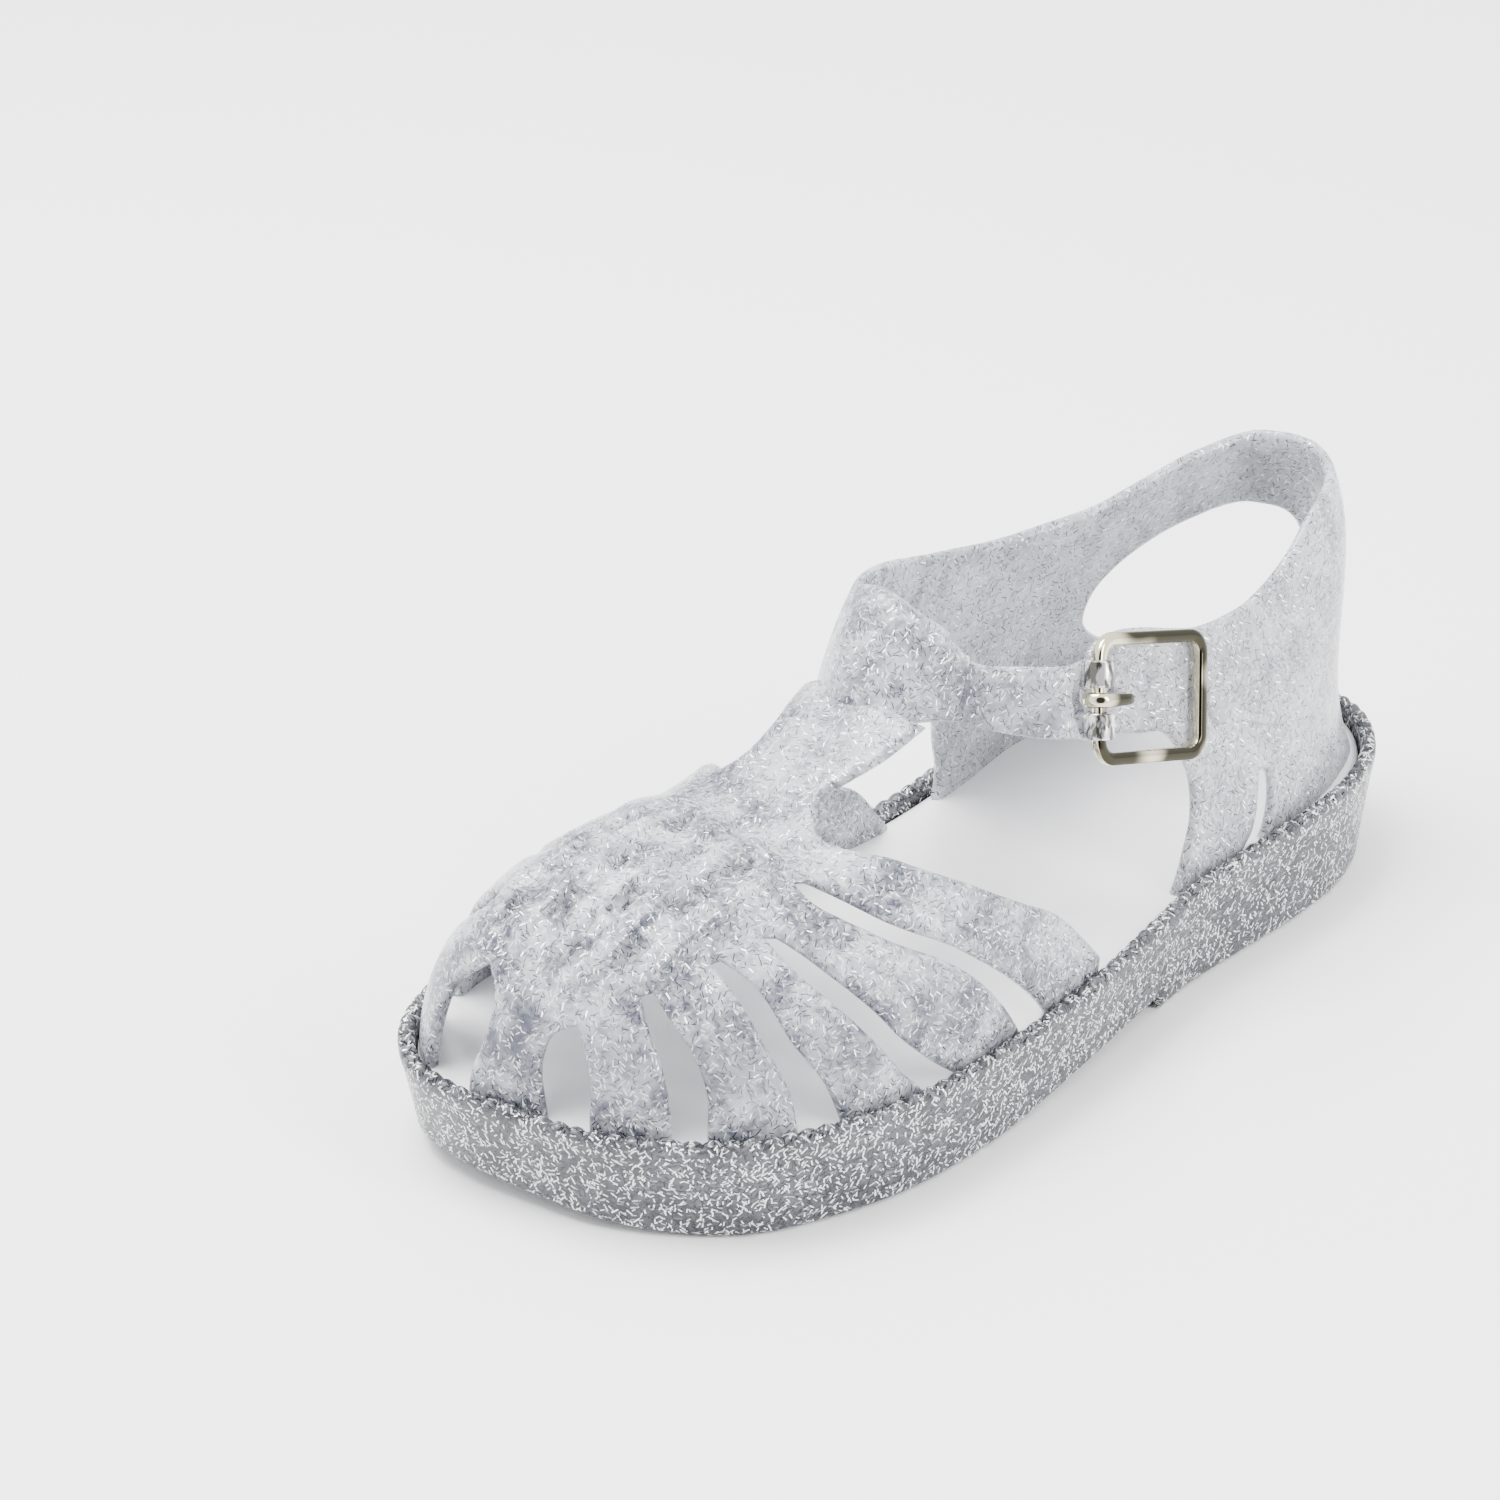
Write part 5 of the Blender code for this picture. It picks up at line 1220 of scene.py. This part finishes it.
def cloud_group():
    """Uneven milkiness of the moulded plastic: broad clouds with finer flecks in them."""
    tree, kit, start, end = group_tree(
        "Milky Clouds",
        (("Broad", "NodeSocketFloat", 120.0), ("Fine", "NodeSocketFloat", 900.0)),
        (("Cloud", "NodeSocketFloat"), ("Fleck", "NodeSocketFloat")),
    )
    place = kit.place()
    broad = kit.noise(place, start["Broad"], 4.0, 0.6)
    fine = kit.noise(place, start["Fine"], 2.0, 0.7)
    kit.fill(end, {"Cloud": kit.ramp(broad, 0.38, 0.62), "Fleck": kit.ramp(fine, 0.35, 0.70)})
    return tree


def new_material(name):
    mat = bpy.data.materials.new(name)
    mat.use_nodes = True
    kit = Nodes(mat.node_tree)
    return mat, kit, kit.nodes["Principled BSDF"]


def layered_needles(kit, needles, layers):
    """Several sizes of needle over each other: their joint mask, brightness and tilt."""
    mask, shine, tilt = 0.0, 0.5, (0.0, 0.0, 0.0)
    for scale, length, width, shift in layers:
        layer = kit.group(needles, Scale=scale, Length=length, Width=width, Shift=shift)
        shine = kit.mix(layer["Mask"], shine, layer["Shine"], "FLOAT")
        tilt = kit.mix(layer["Mask"], tilt, layer["Tilt"], "VECTOR")
        mask = kit.math("MAXIMUM", mask, layer["Mask"])
    return mask, shine, tilt


def tilted_normal(kit, tilt, mask, amount):
    """The surface's normal, leaning a different way at each needle."""
    normal = kit.add("ShaderNodeNewGeometry").outputs["Normal"]
    return kit.vector("NORMALIZE", kit.vector("ADD", normal, kit.scaled(tilt, kit.times(mask, amount))))


def sole_material(needles, clouds, looks):
    """Grey clear plastic packed with silver needles, with painted shade darkening it towards the floor."""
    mat, kit, shader = new_material("glitter sole")
    cloud = kit.group(clouds, Broad=160.0, Fine=1100.0)
    mask, shine, tilt = layered_needles(kit, needles, SOLE_NEEDLES)
    body = kit.mix(cloud["Cloud"], looks.sole_dark, looks.sole_light)
    body = kit.mix(kit.times(cloud["Fleck"], 0.35), body, (0.13, 0.135, 0.145))
    # Painted shade: the sole darkens over its lowest few millimetres, towards the floor
    body = kit.mix(kit.ramp(kit.axes()["Z"], 0.0, 0.006, 0.35, 0.0), body, (0.04, 0.04, 0.05))
    silver = kit.mix(kit.ramp(shine, 0.45, 0.75), (0.02, 0.022, 0.03), (0.90, 0.90, 0.91))
    kit.fill(shader, {
        "Base Color": kit.mix(mask, body, silver),
        "Metallic": kit.times(mask, 0.35),
        "Roughness": kit.ramp(mask, 0.0, 1.0, 0.42, 0.25),
        "Normal": tilted_normal(kit, tilt, mask, 0.9),
        "Coat Weight": 0.12,
        "Coat Roughness": 0.25,
    })
    return mat


def jelly_material(needles, clouds, looks):
    """Milky clear plastic with silver needles, with grey-blue painted shade where the wall turns down to the
    sole.
    """
    mat, kit, shader = new_material("glitter jelly")
    cloud = kit.group(clouds, Broad=140.0, Fine=1000.0)
    mask, shine, tilt = layered_needles(kit, needles, JELLY_NEEDLES)
    axes = kit.axes()
    body = kit.mix(cloud["Cloud"], looks.jelly_dark, looks.jelly_light)
    body = kit.mix(kit.times(cloud["Fleck"], 0.35), body, (0.84, 0.85, 0.88))
    stains = kit.ramp(kit.noise(kit.place(), 420.0, 4.0, 0.7), 0.50, 0.36)
    body = kit.mix(kit.times(stains, 0.55), body, (0.13, 0.14, 0.18))
    # Painted shade: a grey-blue band low on the front of the cage, where the straps turn down into shade
    low = kit.times(kit.ramp(axes["Z"], 0.0185, 0.0225), kit.ramp(axes["Z"], 0.0300, 0.0245))
    front = kit.ramp(axes["Y"], -0.010, -0.040)
    painted_shade_band = kit.times(low, front, kit.ramp(cloud["Cloud"], 0.0, 1.0, 0.9, 0.45))
    body = kit.mix(kit.times(painted_shade_band, 0.85), body, looks.jelly_shade)
    # Painted light: the jelly is lightened towards the heel
    rear = kit.ramp(axes["Y"], -0.020, 0.030, 0.0, 0.45)
    body = kit.mix(rear, body, (0.62, 0.63, 0.66))
    silver = kit.mix(kit.ramp(shine, 0.40, 0.70), (0.04, 0.045, 0.065), (1.0, 1.0, 1.0))
    kit.fill(shader, {
        "Base Color": kit.mix(kit.times(mask, 0.85), body, silver),
        "Metallic": kit.times(mask, 0.30),
        "Roughness": kit.ramp(mask, 0.0, 1.0, 0.30, 0.22),
        "Normal": tilted_normal(kit, tilt, mask, 0.8),
        "Coat Weight": 0.3,
        "Coat Roughness": 0.18,
        "Transmission Weight": looks.jelly_clear,
        "IOR": 1.45,
    })
    return mat


def sleeve_material():
    """Clear plastic drawn thin over the front bar, with the metal's reflections painted on it as dark and
    bright streaks.
    """
    mat, kit, shader = new_material("sleeve over bar")
    drawn = kit.vector("MULTIPLY", kit.place(), (1.0, 1.0, 0.2))
    # Painted reflection: stretched noise gives dark and bright streaks along the bar
    painted_streaks = kit.ramp(kit.noise(drawn, 900.0, 2.0), 0.42, 0.58)
    kit.fill(shader, {
        "Base Color": kit.mix(painted_streaks, (0.06, 0.055, 0.045), (0.80, 0.80, 0.79)),
        "Metallic": 0.7,
        "Roughness": 0.16,
        "Coat Weight": 0.8,
        "Coat Roughness": 0.05,
    })
    return mat


def pearl_material(clouds, looks):
    """Pearl white footbed with a satin sheen and faint long ripples."""
    mat, kit, shader = new_material("pearl footbed")
    cloud = kit.group(clouds, Broad=28.0, Fine=240.0)
    ripples = {"Strength": 0.25, "Distance": 0.0002, "Height": kit.noise(kit.place(), 260.0, 2.0)}
    kit.fill(shader, {
        "Base Color": kit.mix(cloud["Cloud"], looks.pearl, (0.93, 0.93, 0.94)),
        "Roughness": kit.ramp(cloud["Fleck"], 0.0, 1.0, 0.30, 0.38),
        "Normal": kit.add("ShaderNodeBump", ripples).outputs["Normal"],
        "Metallic": 0.12,
        "Coat Weight": 0.3,
        "Coat Roughness": 0.25,
    })
    return mat


def nickel_material(looks):
    """Polished nickel: a painted dark reflection on the buckle's outer face, broken by soft painted glints,
    and bright along its edges.
    """
    mat, kit, shader = new_material("polished nickel")
    place = kit.place()
    sides = kit.add("ShaderNodeTexCoord").outputs["Normal"]
    # Painted reflection: faces turned outwards are painted dark, and painted glints lift them back to the
    # nickel colour in soft spots
    front = kit.ramp(kit.vector("DOT_PRODUCT", sides, DARK_REFLECTION_FACING), 0.30, 0.62)
    painted_glints = kit.ramp(kit.noise(place, 120.0, 0.0), 0.80, 0.56)
    kit.fill(shader, {
        "Base Color": kit.mix(kit.times(front, kit.times(painted_glints, 0.96)), looks.nickel, (0.012, 0.011, 0.006)),
        "Roughness": kit.ramp(kit.noise(place, 900.0, 2.0), 0.3, 0.8, 0.05, 0.12),
        "Metallic": 1.0,
    })
    return mat


def floor_material():
    """Pale matt floor of the studio."""
    mat, kit, shader = new_material("studio floor")
    pale = kit.mix(kit.noise(kit.place(), 6.0), (0.97, 0.97, 0.975), (0.98, 0.98, 0.98))
    kit.fill(shader, {"Base Color": pale, "Roughness": 0.7})
    return mat


class SandalLooks(PropertyGroup):
    sole_dark: FloatVectorProperty(
        name="Sole Dark", description="Darkest cloud of the sole", subtype="COLOR", size=3,
        default=(0.014, 0.015, 0.019),
    )
    sole_light: FloatVectorProperty(
        name="Sole Light", description="Lightest cloud of the sole", subtype="COLOR", size=3,
        default=(0.060, 0.062, 0.070),
    )
    jelly_dark: FloatVectorProperty(
        name="Jelly Dark", description="Darkest cloud of the straps", subtype="COLOR", size=3,
        default=(0.055, 0.062, 0.095),
    )
    jelly_light: FloatVectorProperty(
        name="Jelly Light", description="Lightest cloud of the straps", subtype="COLOR", size=3,
        default=(0.46, 0.47, 0.51),
    )
    # Painted shade: the grey-blue colour put where the straps turn down
    jelly_shade: FloatVectorProperty(
        name="Jelly Band", description="Grey-blue where the straps turn down", subtype="COLOR", size=3,
        default=(0.045, 0.05, 0.08),
    )
    jelly_clear: FloatProperty(
        name="Clearness", description="Share of light that passes the straps", subtype="FACTOR",
        min=0.0, max=1.0, default=0.22,
    )
    pearl: FloatVectorProperty(
        name="Pearl", description="Footbed colour", subtype="COLOR", size=3, default=(0.88, 0.88, 0.89)
    )
    nickel: FloatVectorProperty(
        name="Nickel", description="Buckle colour", subtype="COLOR", size=3, default=(0.66, 0.61, 0.44)
    )


class SandalStage(PropertyGroup):
    view_turn: FloatProperty(
        name="Turn", description="Camera's angle round the shoe", subtype="ANGLE", default=math.radians(48)
    )
    view_rise: FloatProperty(
        name="Rise", description="Camera's angle above the floor", subtype="ANGLE", default=math.radians(32)
    )
    view_far: FloatProperty(
        name="Distance", description="From the camera to its target", unit="LENGTH", default=0.594
    )
    lens: FloatProperty(name="Lens", description="Focal length in millimetres", default=96.92)
    key: FloatProperty(name="Key Light", description="Power of the large overhead light", default=15.0)
    sky: FloatProperty(name="Sky", description="Strength of the even studio light", default=2.6)


def shared_groups():
    needles = bpy.data.node_groups.get("Glitter Needles") or needle_group()
    clouds = bpy.data.node_groups.get("Milky Clouds") or cloud_group()
    return needles, clouds


def shared_material(name, make, *parts):
    return bpy.data.materials.get(name) or make(*parts)


class SANDAL_OT_sole(Operator):
    """Glitter flatform sole with its ribbed rim"""

    bl_idname = "sandal.sole"
    bl_label = "Sole"

    def execute(self, context):
        needles, clouds = shared_groups()
        mat = shared_material("glitter sole", sole_material, needles, clouds, context.scene.sandal_looks)
        new_object("sole_skin", *sole_skin(), mat, "outsole", "outsole")
        return {"FINISHED"}


class SANDAL_OT_footbed(Operator):
    """Bare pearl footbed"""

    bl_idname = "sandal.footbed"
    bl_label = "Footbed"

    def execute(self, context):
        _, clouds = shared_groups()
        mat = shared_material("pearl footbed", pearl_material, clouds, context.scene.sandal_looks)
        new_object("footbed_skin", *bed_skin(), mat, "insole", "insole")
        return {"FINISHED"}


class SANDAL_OT_upper(Operator):
    """Woven cage, T-bar, heel and ankle strap"""

    bl_idname = "sandal.upper"
    bl_label = "Upper"

    def execute(self, context):
        needles, clouds = shared_groups()
        mat = shared_material("glitter jelly", jelly_material, needles, clouds, context.scene.sandal_looks)
        thin = shared_material("sleeve over bar", sleeve_material)
        seat = Seat()
        new_object("cage_skin", *cage_skin(), mat, "upper", "upper")
        new_object("quarter_skin", *quarter_skin(seat.pattern_hole()), mat, "upper", "upper")
        new_object("loop_skin", *loop_skin(), mat, "upper", "upper")
        new_object("strap_root_skin", *root_skin(), mat, "upper", "upper")
        new_object("sleeve_skin", *sleeve_skin(seat), thin, "upper", "upper")
        return {"FINISHED"}


class SANDAL_OT_buckle(Operator):
    """Nickel frame and prong"""

    bl_idname = "sandal.buckle"
    bl_label = "Buckle"

    def execute(self, context):
        mat = shared_material("polished nickel", nickel_material, context.scene.sandal_looks)
        seat = Seat()
        new_object("frame_skin", *frame_skin(seat), mat, "nickel", "buckle_frame")
        new_object("prong_skin", *prong_skin(seat), mat, "nickel", "buckle_prong")
        return {"FINISHED"}


def area_light(name, place, size, power):
    """A soft rectangular light that points at the shoe."""
    data = bpy.data.lights.new(name, "AREA")
    data.shape = "RECTANGLE"
    data.size, data.size_y = size
    data.energy = power
    obj = bpy.data.objects.new(name, data)
    obj.location = place
    obj.rotation_euler = (Vector(LIGHT_TARGET) - Vector(place)).to_track_quat("-Z", "Y").to_euler()
    bpy.context.scene.collection.objects.link(obj)


class SANDAL_OT_stage(Operator):
    """Pale floor, soft lights and the camera"""

    bl_idname = "sandal.stage"
    bl_label = "Stage"

    def execute(self, context):
        stage = context.scene.sandal_stage
        bpy.ops.mesh.primitive_plane_add(size=8.0, location=(0.0, 0.0, -0.0002))
        floor = context.active_object
        floor.name = "studio_floor"
        floor.data.materials.append(floor_material())
        world = bpy.data.worlds.new("studio sky")
        world.use_nodes = True
        kit = Nodes(world.node_tree)
        way = kit.add("ShaderNodeTexCoord").outputs["Generated"]
        flag = kit.ramp(kit.vector("DOT_PRODUCT", way, DARK_CARD), 0.80, 0.90)
        sky = kit.mix(flag, (0.97, 0.98, 1.0), (0.03, 0.03, 0.03))
        kit.fill(kit.nodes["Background"], {"Color": sky, "Strength": stage.sky})
        context.scene.world = world
        for name, place, size, share in LIGHTS:
            area_light(name, place, size, share * stage.key)
        turn, rise = stage.view_turn, stage.view_rise
        back_way = Vector((math.sin(turn) * math.cos(rise), -math.cos(turn) * math.cos(rise), math.sin(rise)))
        data = bpy.data.cameras.new("photo_camera")
        data.lens = stage.lens
        data.sensor_width = 36.0
        data.shift_x, data.shift_y = CAMERA_SHIFT
        camera = bpy.data.objects.new("photo_camera", data)
        camera.location = Vector(CAMERA_TARGET) + back_way * stage.view_far
        camera.rotation_euler = (-back_way).to_track_quat("-Z", "Y").to_euler()
        context.scene.collection.objects.link(camera)
        context.scene.camera = camera
        return {"FINISHED"}


class SANDAL_PT_panel(Panel):
    """Builds the sandal piece by piece"""

    bl_idname = "SANDAL_PT_panel"
    bl_label = "Jelly Sandal"
    bl_space_type = "VIEW_3D"
    bl_region_type = "UI"
    bl_category = "Sandal"

    def draw(self, context):
        layout = self.layout
        for group in (context.scene.sandal_looks, context.scene.sandal_stage):
            for name in group.__annotations__:
                layout.prop(group, name)
        for operator in OPERATORS:
            layout.operator(operator.bl_idname)


OPERATORS = (SANDAL_OT_sole, SANDAL_OT_footbed, SANDAL_OT_upper, SANDAL_OT_buckle, SANDAL_OT_stage)
CLASSES = (SandalLooks, SandalStage, *OPERATORS, SANDAL_PT_panel)


def register():
    for cls in CLASSES:
        bpy.utils.register_class(cls)
    bpy.types.Scene.sandal_looks = PointerProperty(type=SandalLooks)
    bpy.types.Scene.sandal_stage = PointerProperty(type=SandalStage)


def unregister():
    del bpy.types.Scene.sandal_stage
    del bpy.types.Scene.sandal_looks
    for cls in reversed(CLASSES):
        bpy.utils.unregister_class(cls)


def main():
    register()
    bpy.ops.sandal.sole()
    bpy.ops.sandal.footbed()
    bpy.ops.sandal.upper()
    bpy.ops.sandal.buckle()
    bpy.ops.sandal.stage()


if __name__ == "__main__":
    main()
